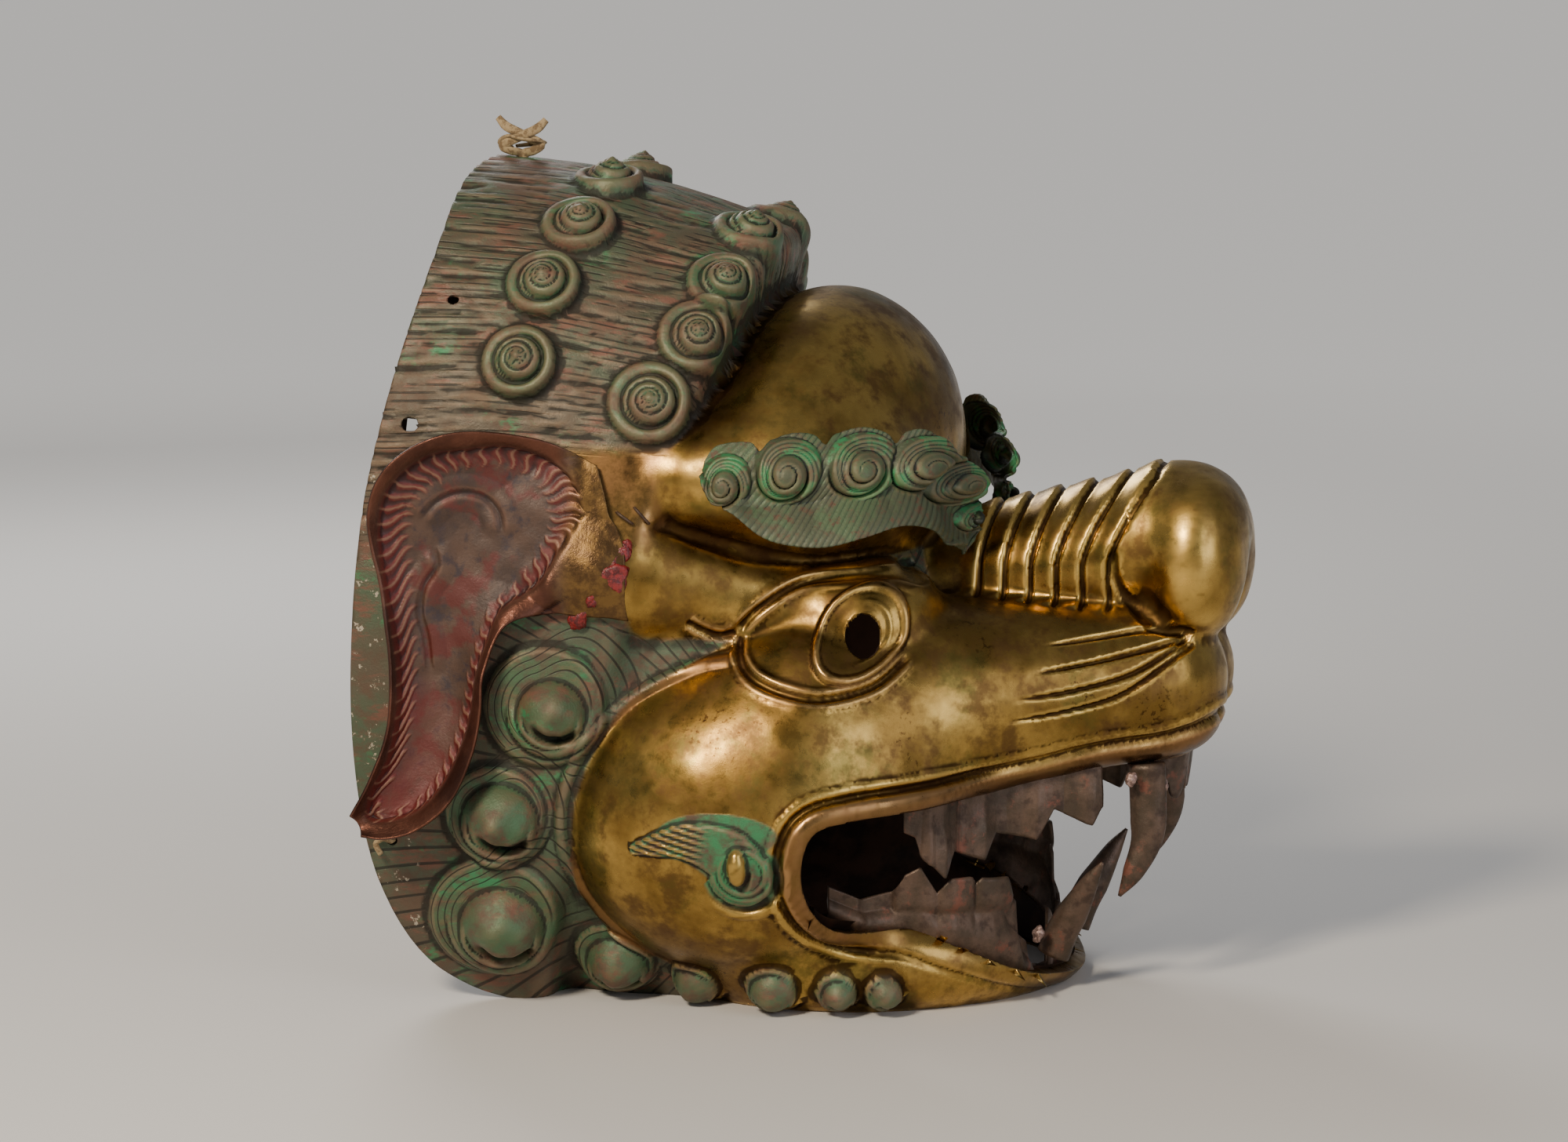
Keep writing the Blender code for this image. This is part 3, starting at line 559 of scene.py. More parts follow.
# The skin is pressed in an even grain, drawn finer where carving is finest, and the holes are then
# punched through it: the pupils, the cord's hole at the crown and three holes along the back rim.
EYE_HOLE = (17, 21)
CORD_HOLE = 5.5
RIM_HOLES = ((-162, 331, 5.5), (-184, 80, 5.5), (-175, 275, 8))
pupil_at, pupil_out = side_seat(37, 179)
crown_at, crown_out = crown_seat(-166, 0)
FACE_GRAIN = 2.1
skin = pressed_skin(FACE_GRAIN)
cut_open(skin)
points = coordinates(skin)
right_side = points * [1, 0, 1] - np.abs(points) * [0, 1, 0]
drawn_x, _, drawn_z = on_drawing(points).T
in_side_view = np.stack([drawn_x, drawn_z], 1)
fine = (np.hypot(drawn_x - 36, drawn_z - 179) < 26) & (np.abs(points[:, 1]) > 38)
fine |= (drawn_x > 64) & (drawn_x < 146) & (drawn_z > 178) & (np.abs(points[:, 1]) < 48)
fine |= (np.hypot(drawn_x + 24, drawn_z - 80) < 38) & (np.abs(points[:, 1]) > 90)
for line, reach in ((MOUTH, 16), (EYELIDS, 6), (LOWER_LID, 6), (CORNER_FOLD, 5), (WING_FOLD, 5),
                    (CHEEK_BEAD, 5), *((whisker, 5) for whisker in WHISKERS)):
    fine |= line_distance(in_side_view, line)[0] < reach
for x_seat, lean, radius in HAIR_CURLS:
    fine |= np.linalg.norm(right_side - crown_seat(x_seat, lean)[0], axis=1) < radius * 1.15
for x_seat, z_seat, radius, lock in MANE_CURLS:
    fine |= np.linalg.norm(right_side - side_seat(x_seat, z_seat)[0], axis=1) < max(radius * 1.2, lock * 1.08)
for hole_at in (crown_at, *(side_seat(x_hole, z_hole)[0] for x_hole, z_hole, _ in RIM_HOLES)):
    fine |= np.linalg.norm(right_side - hole_at, axis=1) < 9
refined(skin, fine)
seated = seat(coordinates(skin))
carved, covers = carving(seated)
carved[:, 2] = np.maximum(carved[:, 2], 0)
place(skin, carved)


def punch(mesh, at, out, width, height):
    """Opens an elliptical hole through the sheet at a place, its edge pulled to the ellipse."""
    ahead, side = curl_axes(out, (1, 0, 0))
    p = coordinates(mesh)
    off = p - at
    u, v = off @ ahead / (width / 2), off @ side / (height / 2)
    within = (np.hypot(u, v) < 1) & (np.abs(off @ out) < 14)
    bm = bmesh.new()
    bm.from_mesh(mesh)
    bm.verts.ensure_lookup_table()
    bmesh.ops.delete(bm, geom=[f for f in bm.faces if all(within[x.index] for x in f.verts)], context="FACES")
    bm.to_mesh(mesh)
    bm.free()
    p = coordinates(mesh)
    off = p - at
    u, v = off @ ahead / (width / 2), off @ side / (height / 2)
    r = np.hypot(u, v)
    move = ((r < 1) & (np.abs(off @ out) < 14)) * (1 / np.maximum(r, 0.05) - 1)
    p += ((u * move * width / 2)[:, None] * ahead) + ((v * move * height / 2)[:, None] * side)
    place(mesh, p)


for name, values in covers.items():
    set_cover(skin, name, values)
for hand in (1, HAND):
    punch(skin, pupil_at * hand, pupil_out * hand, *EYE_HOLE)
for x_hole, z_hole, across in RIM_HOLES:
    punch(skin, *side_seat(x_hole, z_hole), across, across * 0.9)
punch(skin, crown_at, crown_out, CORD_HOLE, CORD_HOLE)
set_cover(skin, "dip", hollows(skin, coordinates(skin), 4))


def hem(mesh, depth_at):
    """Turns the sheet's open edges in, as far under the outer face as depth_at gives for each place."""
    bm = bmesh.new()
    bm.from_mesh(mesh)
    edges = [e for e in bm.edges if e.is_boundary]
    for share in (0.12, 0.88):
        bm.normal_update()
        if share == 0.12:
            verts = [v for v in bm.verts if v.is_boundary]
            depths = depth_at(np.array([v.co for v in verts]))
            inward = {tuple(v.co): (v.normal.copy(), depth) for v, depth in zip(verts, depths)}
        else:
            inward = moved
        made = bmesh.ops.extrude_edge_only(bm, edges=edges)["geom"]
        moved = {}
        for v in made:
            if isinstance(v, bmesh.types.BMVert):
                normal, depth = inward[tuple(v.co)]
                v.co -= normal * depth * share
                moved[tuple(v.co)] = (normal, depth)
        edges = [e for e in made if isinstance(e, bmesh.types.BMEdge) and e.is_boundary]
    bm.to_mesh(mesh)
    bm.free()


def split_off(mesh, name, keep):
    """A copy of the mesh with the faces whose mean share of hair and mean height pass the test."""
    bm = bmesh.new()
    bm.from_mesh(mesh)
    layer = bm.verts.layers.float["hair"]
    gone = []
    for face in bm.faces:
        count = len(face.verts)
        if not keep(sum(v[layer] for v in face.verts) / count, sum(v.co.z for v in face.verts) / count / MM):
            gone.append(face)
    bmesh.ops.delete(bm, geom=gone, context="FACES")
    return mesh_of(bm, name)


# The sheet is 1.2 mm thick at its edges; the lips are turned in by some 8 mm
SHEET, LIP_TURN = 1.2, 8.0


def edge_depth(points):
    lip, _ = line_distance(on_drawing(points)[:, [0, 2]], MOUTH)
    return np.where(lip < 7, LIP_TURN, SHEET)


hem(skin, edge_depth)
place(skin, np.maximum(coordinates(skin), [-np.inf, -np.inf, 0]) * MM)


def hex_colour(code):
    """An sRGB hex colour as linear red, green, blue and alpha."""
    values = [int(code[i : i + 2], 16) / 255 for i in (1, 3, 5)]
    return (*[v / 12.92 if v <= 0.04045 else ((v + 0.055) / 1.055) ** 2.4 for v in values], 1)


def feed(tree, node, inputs):
    """Gives the sockets of a node their numbers, hex colours or links from other nodes' outputs."""
    for socket, source in inputs.items():
        if isinstance(source, bpy.types.NodeSocket):
            tree.links.new(source, node.inputs[socket])
        else:
            node.inputs[socket].default_value = hex_colour(source) if isinstance(source, str) else source


def add_node(tree, kind, settings, inputs, output=0):
    """Adds a node with its settings and inputs, and returns the output that is asked for."""
    made = tree.nodes.new("ShaderNode" + kind)
    for name, value in settings.items():
        setattr(made, name, value)
    feed(tree, made, inputs)
    return made.outputs[output]


def new_material(name):
    made = bpy.data.materials.new(name)
    made.use_nodes = True
    return made, made.node_tree, made.node_tree.nodes["Principled BSDF"]


def patches(tree, size_mm, detail=4, roughness=0.6, stretch=(1, 1, 1)):
    """Uneven patches on object coordinates, the largest about size_mm across."""
    place_on_piece = add_node(tree, "TexCoord", {}, {}, "Object")
    place_on_piece = add_node(tree, "Mapping", {}, {"Vector": place_on_piece, "Scale": stretch})
    return add_node(tree, "TexNoise", {}, {"Vector": place_on_piece, "Scale": 1000 / size_mm,
                                           "Detail": detail, "Roughness": roughness}, "Fac")


def spread(tree, pattern, low, high, least=0.0, most=1.0, held=None):
    """A share that eases from least to most as a pattern goes from low to high, kept where another holds."""
    share = add_node(tree, "MapRange", {"interpolation_type": "SMOOTHSTEP"},
                     {"Value": pattern, "From Min": low, "From Max": high, "To Min": least, "To Max": most})
    return share if held is None else add_node(tree, "Math", {"operation": "MULTIPLY"}, {0: share, 1: held})


def lay(tree, base, colour, pattern, low=None, high=None, **limits):
    """A colour laid over a base where a pattern passes from low to high, or as far as its own value."""
    share = pattern if low is None else spread(tree, pattern, low, high, **limits)
    return add_node(tree, "Mix", {"data_type": "RGBA"}, {0: share, 6: base, 7: colour}, 2)


def covers_of(tree, names):
    """The covers stored on a piece's points, by name."""
    return {name: add_node(tree, "Attribute", {"attribute_name": name}, {}, "Fac") for name in names}


def chased_lines(tree, phase, width, **limits):
    """1 along the thin lines where the phase passes a whole number, 0 between them."""
    off = add_node(tree, "Math", {"operation": "PINGPONG"}, {0: phase, 1: 0.5})
    return spread(tree, off, width, width * 0.4, **limits)


def larger(tree, first, second):
    return add_node(tree, "Math", {"operation": "MAXIMUM"}, {0: first, 1: second})


def gritty(tree, size_mm, strength, depth=0.0005):
    """The fine unevenness of a surface, as its normal."""
    return add_node(tree, "Bump", {}, {"Strength": strength, "Distance": depth,
                                       "Height": patches(tree, size_mm, 3, 0.7)})


# Fire-gilt copper: a thin gold skin, hammer-planished and rubbed bright on the bulges, gone brown and
# olive where smoke and handling have dulled it. The hair, mane and cheek spot carry old green paint
# that has worn to brown copper on its ridges; lips and eyelids show red-brown copper.
gilt, tree, shader = new_material("gilt_and_painted_copper")
cover = covers_of(tree, (*covers, "dip"))
clouds, mottle, speck = patches(tree, 62, 5, 0.62), patches(tree, 15, 6, 0.66), patches(tree, 2.4, 3)
ridge, pit = (-0.02, -0.22), (0.03, 0.28)
gold = lay(tree, "#7D602F", "#BB9850", clouds, 0.38, 0.62)
gold = lay(tree, gold, "#64492B", mottle, 0.44, 0.66, most=0.85)
gold = lay(tree, gold, "#5F5A2C", patches(tree, 38, 6, 0.7), 0.52, 0.66, most=0.6)
gold = lay(tree, gold, "#3B2414", speck, 0.56, 0.66, held=spread(tree, clouds, 0.45, 0.3))
gold = lay(tree, gold, "#E3BC66", cover["dip"], *ridge, most=0.55)
# Painted shade: the gilt is darkened towards near black wherever the surface dips into a hollow
gold = lay(tree, gold, "#2A170D", cover["dip"], *pit, most=0.85)
copper = lay(tree, "#5F432E", "#86623F", mottle, 0.4, 0.62)
copper = lay(tree, copper, "#B98A68", cover["dip"], *ridge, most=0.6)
gold = lay(tree, gold, copper, cover["red"])
# The paint: dull olive on brown, in long broken streaks on the crown, brightest where it lies thickest
green = lay(tree, "#554A3A", "#495741", clouds, 0.4, 0.62)
green = lay(tree, green, "#5A4838", mottle, 0.47, 0.64)
green = lay(tree, green, "#6E4B3B", patches(tree, 9, 5, 0.7, (0.35, 1, 1)), 0.51, 0.65)
verdigris = spread(tree, patches(tree, 26, 5, 0.74, (0.6, 1, 1)), 0.56, 0.68)
verdigris = larger(tree, verdigris, spread(tree, mottle, 0.62, 0.4, held=cover["fresh"]))
green = lay(tree, green, "#3B7C50", verdigris)
green = lay(tree, green, "#806A50", cover["dip"], *ridge, most=0.45)
lines = chased_lines(tree, cover["streak_phase"], 0.17, held=cover["streak_cover"])
lines = spread(tree, patches(tree, 7, 3, 0.6, (0.3, 1, 1)), 0.42, 0.56, held=lines)
for name in ("fan", "ring"):
    lines = larger(tree, lines, chased_lines(tree, cover[name + "_phase"], 0.12, held=cover[name + "_cover"]))
# Painted shade in the hollows of the paint, joined with the dark of the chased lines, laid on the green as
# near black
hollow_shade = spread(tree, cover["dip"], *pit)
hollow_shade_and_lines = add_node(tree, "Math", {"operation": "MULTIPLY"}, {0: larger(tree, hollow_shade, lines), 1: 0.8})
green = lay(tree, green, "#1E1C14", hollow_shade_and_lines)
green = lay(tree, green, "#ABA08C", patches(tree, 7, 5, 0.75), 0.6, 0.63, held=cover["chips"])
dull = add_node(tree, "Math", {"operation": "MULTIPLY_ADD"},
                {0: cover["paint"], 1: 0.22, 2: spread(tree, mottle, 0.35, 0.7, 0.25, 0.46)})
dull = add_node(tree, "Math", {"operation": "MULTIPLY_ADD"}, {0: hollow_shade, 1: 0.15, 2: dull})
# Planishing marks are about 9 mm across; the paint's grit is drawn at 1.2 mm so that it shows
on_piece = add_node(tree, "TexCoord", {}, {}, "Object")
marks = add_node(tree, "TexVoronoi", {"feature": "SMOOTH_F1"},
                 {"Vector": on_piece, "Scale": 1000 / 9.0, "Smoothness": 1.0}, "Distance")
grit = spread(tree, cover["paint"], 0, 1, 0.12, 1.0, held=patches(tree, 1.2, 3, 0.7))
grit = add_node(tree, "Math", {"operation": "MULTIPLY_ADD"}, {0: lines, 1: -1.6, 2: grit})
relief = add_node(tree, "Bump", {}, {"Strength": 0.4, "Distance": 0.0006, "Height": grit})
relief = add_node(tree, "Bump", {}, {"Strength": 0.12, "Distance": 0.0012, "Height": marks, "Normal": relief})
feed(tree, shader, {"Base Color": lay(tree, gold, green, cover["paint"]),
                    "Metallic": spread(tree, cover["paint"], 0.1, 0.9, 1.0, 0.3),
                    "Roughness": dull, "Normal": relief})


def settle(piece, node, finish):
    """Gives a piece its finish, hangs it on the root body and hides the solid it stands for, if any."""
    piece.data.materials.append(finish)
    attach(piece, "root")
    if node:
        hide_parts(node)


for name, keep in (
    ("face_sheet", lambda hair, height: hair < 0.5),
    ("crown_hair", lambda hair, height: hair >= 0.5 and height >= 262),
    ("mane", lambda hair, height: hair >= 0.5 and height < 262),
):
    settle(add_piece(name, split_off(skin, name, keep)), "head_shell", gilt)


# The inside of the bowl, seen through the mouth and from behind: the bare back of the same sheet,
# its hammer marks left rough, dark with smoke and handling.
lining = pressed_skin(5.0)
cut_open(lining)
place(lining, seat(coordinates(lining), 3, -6))
for hand in (1, HAND):
    punch(lining, pupil_at * hand, pupil_out * hand, EYE_HOLE[0] + 2, EYE_HOLE[1] + 2)
for x_hole, z_hole, across in RIM_HOLES:
    punch(lining, *side_seat(x_hole, z_hole), across + 1, across + 1)
place(lining, np.maximum(coordinates(lining), [-np.inf, -np.inf, 0]) * MM)
lining.flip_normals()
bare, tree, shader = new_material("smoked_copper_inside")
smoke = lay(tree, "#2A1C14", "#4A3122", patches(tree, 30, 5, 0.65), 0.4, 0.62)
feed(tree, shader, {"Base Color": smoke, "Metallic": 0.6, "Roughness": 0.62})
settle(add_piece("inner_face", lining), "head_shell", bare)


# The ears are single sheets, raised into a long hanging bowl with a rolled rim, and hang off the
# back of the eye band on wire and wax. Chased flame tufts fill a border inside the rim; the bowl is
# stained with a deep red pigment, strongest at the tip, and the rim has been handled back to copper.
EAR_SHEET = 1.2
EAR_OUTER = smooth_line(
    [(-85, -121, 257), (-108, -132, 270), (-145, -146, 274), (-173, -153, 260), (-184, -154, 235),
     (-178, -153, 199), (-174, -154, 163), (-175, -156, 136), (-182, -160, 114), (-191, -161, 97)], 8)
EAR_INNER = smooth_line(
    [(-72, -121, 190), (-103, -136, 190), (-121, -145, 185), (-129, -151, 164), (-130, -153, 146),
     (-134, -155, 125), (-144, -158, 104), (-160, -160, 91), (-175, -161, 87), (-186, -161, 88)], 8)
EAR_BOWL = smooth_line(
    [(-140, 267), (-124, 268), (-107, 262), (-95, 250), (-91, 232), (-97, 214), (-112, 200), (-124, 191),
     (-129, 177), (-134, 160), (-136, 147), (-140, 131), (-148, 113), (-160, 99), (-176, 93), (-186, 95),
     (-184, 107), (-177, 122), (-173, 142), (-173, 162), (-175, 180), (-178, 198), (-181, 215), (-182, 229),
     (-179, 244), (-169, 257), (-155, 265)], 4, closed=True)
CONCH_LINES = [smooth_line([(-165, 231), (-158, 240), (-147, 245), (-136, 243), (-129, 235), (-128, 224)], 5),
               smooth_line([(-160, 221), (-157, 212), (-163, 202), (-165, 190), (-162, 178), (-160, 160)], 5)]


def along(line, count):
    run = np.concatenate([[0], np.cumsum(np.linalg.norm(np.diff(line, axis=0), axis=1))])
    at = np.linspace(0, run[-1], count)
    return np.stack([np.interp(at, run, column) for column in line.T], 1)


def between(first, second, count):
    share = np.linspace(0, 1, count)[:, None, None]
    return first * (1 - share) + second * share


CLEARANCE = 2.8


def off_head(points, thickness):
    """Moves the middle of a sheet out until it clears the head."""
    for _ in range(5):
        short = np.maximum(CLEARANCE + thickness / 2 - head_form(points), 0)
        points = points + slopes(points) * short[:, None]
    return points


def ear_work(columns, lines):
    """The ear's rows of points, with the covers of red pigment, brown root, rim and chased tufts."""
    rows = between(along(EAR_INNER, columns), along(EAR_OUTER, columns), lines)
    across = np.linspace(-1, 1, lines)[:, None]
    down = np.linspace(0, 1, columns)[None, :]
    dish = 13 * (1 - np.abs(across) ** 2.4) * np.sin(np.pi * np.clip(down * 0.9 + 0.06, 0, 1)) ** 0.6
    q = rows.reshape(-1, 3)[:, [0, 2]]
    away, share = line_distance(q, EAR_BOWL)
    deep = np.where(inside(q, EAR_BOWL), away, -away)
    root = ease(-104, -90, q[:, 0])
    band = np.interp(share, [0, 0.06, 0.13, 0.2, 0.27, 0.42, 0.56, 0.7, 0.84, 0.95, 1],
                     [11, 15, 19, 16, 8, 8, 6, 8, 15, 17, 11])
    t = deep / band
    slant = np.interp(share, [0, 0.12, 0.3, 0.5, 0.565, 0.63, 0.8, 0.93, 1],
                      [0.9, 0.9, 1.5, 2.2, 0, -2.2, -1.5, -0.4, 0.9])
    tuft = share * 60 + slant * t + 0.28 * np.sin(2 * np.pi * t)
    flame = np.abs(tuft % 1 - 0.5) * 2
    worked = ease(0.0, 0.07, t) * (1 - ease(0.75, 1.0, t + 0.35 * (1 - flame)))
    lift = 3.4 * roll((deep + 4.6) / 6) * (1 - root)
    lift -= 1.8 * ease(-0.6, 1.6, deep) * (1 - 0.6 * root)
    lift += worked * (0.5 * bell((1 - flame) / 0.2) - 0.4 * np.cos(np.pi * flame))
    for line in CONCH_LINES:
        off, part = line_distance(q, line)
        lift += 1.3 * groove(off - 2.5, 6.5, part) - 1.3 * groove(off, 2.4, part)
    lift += 0.5 * ripple(rows.reshape(-1, 3), 34, 21) + 0.2 * ripple(rows.reshape(-1, 3), 11, 22)
    rows[:, :, 1] += dish
    points = off_head(on_head(rows.reshape(-1, 3)), EAR_SHEET)
    points[:, 1] -= lift
    low = ease(150, 96, q[:, 1])
    red = np.clip(0.9 * worked + 0.9 * low * ease(-3, 5, deep), 0, 1)
    red = np.maximum(red, 0.4 * ease(0, 6, deep) * ease(0.0, 1.0, ripple(rows.reshape(-1, 3), 60, 24)))
    unbroken = worked * ease(0.002, 0.006, share) * ease(0.998, 0.994, share)
    return points.reshape(rows.shape), {"red": red, "root": root, "rim": ease(2, -2, deep) * (1 - root),
                                        "tuft_phase": tuft, "tuft_cover": unbroken}


def laid_sheet(name, rows, thickness, out):
    """A sheet laid on rows of points in millimetres, its first side facing out."""
    lines, columns = rows.shape[:2]
    bm = bmesh.new()
    bmesh.ops.create_grid(bm, x_segments=columns - 1, y_segments=lines - 1, size=1)
    mesh = mesh_of(bm, name)
    place(mesh, rows.reshape(-1, 3) * MM)
    normals = np.empty(len(mesh.polygons) * 3)
    mesh.polygons.foreach_get("normal", normals)
    if (normals.reshape(-1, 3) @ np.array(out, float)).sum() < 0:
        mesh.flip_normals()
    made = add_piece(name, mesh)
    wall = made.modifiers.new("sheet", "SOLIDIFY")
    wall.thickness = thickness * MM
    wall.offset = 0
    return made


# Red pigment in a dark binder over copper: matt in the chasing, rubbed to bare red-brown metal on the rim
stain, tree, shader = new_material("red_pigment_on_hammered_copper")
cover = covers_of(tree, ("red", "root", "rim", "tuft_phase", "tuft_cover", "dip"))
clouds, mottle = patches(tree, 34, 5, 0.62), patches(tree, 8, 5, 0.66)
hide = lay(tree, "#3C2C24", "#503B2F", clouds, 0.4, 0.6)
hide = lay(tree, hide, "#33282A", mottle, 0.5, 0.68)
hide = lay(tree, hide, "#54241E", patches(tree, 26), 0.53, 0.62)
pigment = lay(tree, "#481210", "#6A1D18", clouds)
hide = lay(tree, hide, pigment, mottle, 0.3, 0.55, least=0.6, held=cover["red"])
hide = lay(tree, hide, lay(tree, "#4F3228", "#6B4435", clouds, 0.4, 0.62), cover["rim"])
hide = lay(tree, hide, lay(tree, "#553F27", "#755932", mottle, 0.4, 0.62), cover["root"])
hide = lay(tree, hide, "#7A5744", cover["dip"], -0.03, -0.2, most=0.25)
# Painted shade: the ear darkens towards near black wherever its surface dips into a hollow
hide = lay(tree, hide, "#241614", cover["dip"], 0.03, 0.25, most=0.75)
veins = chased_lines(tree, cover["tuft_phase"], 0.1, most=0.65, held=cover["tuft_cover"])
hide = lay(tree, hide, "#7C5B47", veins)
handled = larger(tree, cover["rim"], cover["root"])
polish = add_node(tree, "Math", {"operation": "ADD"}, {0: spread(tree, handled, 0, 1, 0.5, 0.36),
                                                       1: spread(tree, mottle, 0.3, 0.7, -0.05, 0.08)})
feed(tree, shader, {"Base Color": hide, "Metallic": spread(tree, handled, 0, 1, 0.2, 0.85),
                    "Roughness": polish, "Normal": gritty(tree, 1.6, 0.4)})

ear_points, ear_covers = ear_work(*(((240, 92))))
for name, hand in (("right", 1), ("left", HAND)):
    piece = laid_sheet("ear_sheet_" + name, ear_points * hand, EAR_SHEET, np.array([0, -1, 0]) * hand)
    for layer, values in ear_covers.items():
        set_cover(piece.data, layer, values)
    set_cover(piece.data, "dip", hollows(piece.data, coordinates(piece.data) / MM, 4))
    settle(piece, "ear_" + name, stain)


# The brows are single sheets too, each beaten into six snail curls over a flared apron of fine hair
# lines, and pinned to the forehead. Green paint lies thick on the curls and thin on the apron.
BROW_SHEET = 1.2
BROW_TOP = smooth_line(
    [(-34, -115, 258), (-29, -114, 265), (-21, -113, 267), (-13, -111, 266), (-9, -111, 262), (-4, -110, 268),
     (5, -108, 272), (14, -105, 271), (19, -104, 266), (24, -101, 272), (35, -96, 275), (45, -91, 272),
     (49, -89, 267), (53, -86, 272), (60, -80, 273), (66, -70, 267), (68, -64, 260), (72, -54, 256),
     (77, -42, 246), (75, -40, 237), (78, -38, 230)], 6)
BROW_FOOT = smooth_line(
    [(-34, -119, 253), (-28, -121, 243), (-18, -122, 238), (-6, -122, 229), (6, -121, 225), (23, -118, 224),
     (39, -111, 228), (52, -99, 232), (61, -83, 228), (65, -68, 217), (70, -50, 210), (75, -40, 216)], 6)
BROW_CURLS = [(-23, 251, 11), (4, 256, 14), (36, 258, 15), (60, 257, 13), (70, 246, 10), (75, 228, 7)]


def brow_work(columns, lines):
    """The brow's rows of points, with the cover of its curls."""
    rows = between(along(BROW_FOOT, columns), along(BROW_TOP, columns), lines)
    drawn = rows.reshape(-1, 3)
    points = off_head(on_head(drawn), BROW_SHEET)
    outward = slopes(points) * [1, 1, 0.4]
    x, z = drawn[:, 0], drawn[:, 2]
    hairs = (0.86 * x - 0.5 * z + 0.004 * (x - 20) ** 2) / 2.5
    rise = -0.45 * bell((hairs % 1 - 0.5) / 0.24)
    flare = np.repeat(7 * (1 - ease(0, 0.45, np.linspace(0, 1, lines))), columns)
    covered = np.zeros(len(points))
    knobs = np.zeros(len(points))
    for cx, cz, radius in BROW_CURLS:
        u, v = (x - cx + 0.04 * radius) / radius, (z - cz + 0.14 * radius) / radius
        r, angle = np.hypot(u, v), np.arctan2(v, u)
        cover = 1 - ease(0.92, 1.08, np.hypot(u, v - 0.14))
        wind = whorl(r, 2.6 - angle, 0.44)
        furrow = bell(np.minimum(wind, 1 - wind) / 0.11) * ease(0.16, 0.26, r)
        furrow *= 0.7 + 0.3 * ease(0.3, -0.5, v)
        threads = np.cos(2 * np.pi * 5 * wind) * (r > 0.5)
        knob = np.clip(1 - (r / 0.56) ** 2, 0, 1) ** 0.7
        shape = 5.0 * roll(0.9 * r) + 4.6 * knob - 4.2 * furrow * ease(0.5, -0.6, v)
        shape += 0.35 * threads * (1 - furrow) - 1.4 * furrow
        rise = rise * (1 - cover) + cover * shape
        covered = np.maximum(covered, cover * (1 - ease(0.6, 0.4, r)))
        knobs = np.maximum(knobs, cover)
    flare = np.maximum(flare - 3 * knobs, 0)
    return (points + outward * (flare + rise)[:, None]).reshape(rows.shape), covered


# Green copper paint: bright and thick where it survives, worn to brown metal on ridges, with painted shade,
# near black, in its hollows and lines
paint, tree, shader = new_material("green_paint_on_hammered_copper")
cover = covers_of(tree, ("curl", "dip"))
clouds, mottle = patches(tree, 19, 5, 0.68), patches(tree, 5, 5, 0.68)
coat = lay(tree, "#47503A", "#504636", clouds, 0.4, 0.62)
thick_paint = spread(tree, cover["curl"], 0, 1, 0.3, 1.0)
coat = lay(tree, coat, "#37804F", clouds, 0.46, 0.6, held=thick_paint)
coat = lay(tree, coat, "#5C4231", mottle, 0.53, 0.68)
coat = lay(tree, coat, "#7E6E50", cover["dip"], -0.03, -0.2, most=0.4)
# Painted shade: near black laid wherever the brow's surface dips into a hollow
coat = lay(tree, coat, "#14160F", cover["dip"], 0.02, 0.2, most=0.9)
feed(tree, shader, {"Base Color": coat, "Metallic": 0.25, "Normal": gritty(tree, 1.3, 0.45),
                    "Roughness": spread(tree, mottle, 0.3, 0.7, 0.44, 0.66)})

brow_points, brow_curl = brow_work(*(((250, 76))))
for name, hand in (("right", 1), ("left", HAND)):
    piece = laid_sheet("brow_sheet_" + name, brow_points * hand, BROW_SHEET, np.array([1, -1, 0]) * hand)
    set_cover(piece.data, "curl", brow_curl)
    set_cover(piece.data, "dip", hollows(piece.data, coordinates(piece.data) / MM, 4))
    settle(piece, "brow_" + name, paint)


# The teeth are cut from thicker sheet and soldered behind the lips: pointed plates along the upper
# jaw, a long band with stumpy molars below, square front teeth above, and four drawn-out fangs.
TEETH_SHEET = 1.6
UPPER_LIP = np.array(
    [(19, -118, 75), (24, -114, 94), (58, -105, 98), (75, -98, 101), (108, -82, 107), (140, -62, 115),
     (165, -42, 117), (182, -20, 122), (190, 0, 129)], float)
LOWER_LIP = np.array(
    [(22, -113, 52), (40, -108, 43), (58, -102, 41), (73, -92, 35), (91, -75, 25), (108, -50, 12),
     (118, -30, 6), (122, -12, 4), (122, 0, 4)], float)
UPPER_TEETH = np.array(
    [(56, 88), (62, 85), (65, 75), (75, 65), (84, 77), (100, 70), (106, 82), (120, 78), (127, 92), (141, 84),
     (146, 95)], float)
LOWER_TEETH = np.array(
    [(22, 62), (38, 55), (53, 58), (58, 66), (64, 70), (70, 57), (75, 64), (82, 64), (84, 60), (86, 63),
     (95, 62), (97, 53), (100, 48), (101, 32), (106, 27), (109, 15), (117, 11)], float)
UPPER_TIPS = ((75, 65), (100, 70), (120, 78), (141, 84))
LOWER_CROWNS = ((62, 9), (77, 7), (91, 7))


def behind_lip(rows, base, thickness):
    """Moves the upright lines of a strip in, level, until its base row clears the head's sheet."""
    rows = on_head(rows.reshape(-1, 3)).reshape(rows.shape)
    foot = rows[base]
    points = foot.copy()
    for _ in range(8):
        short = np.maximum(head_form(points) + SHEET + CLEARANCE + thickness / 2, 0)
        way = slopes(points) * [1, 1, 0]
        points = points - way * (short / np.maximum((way * way).sum(1), 0.25))[:, None]
    return rows + (points - foot)


def outward(rows):
    """The level way out of the mouth for each point of a strip that runs round it."""
    run = np.gradient(rows, axis=1)
    way = np.cross(run, [0, 0, 1.0])
    way /= np.linalg.norm(way, axis=2, keepdims=True)
    middle = rows.mean((0, 1)) * [0, 1, 0]
    return way * np.sign(((rows - middle) * way).sum(2, keepdims=True).mean(1, keepdims=True))


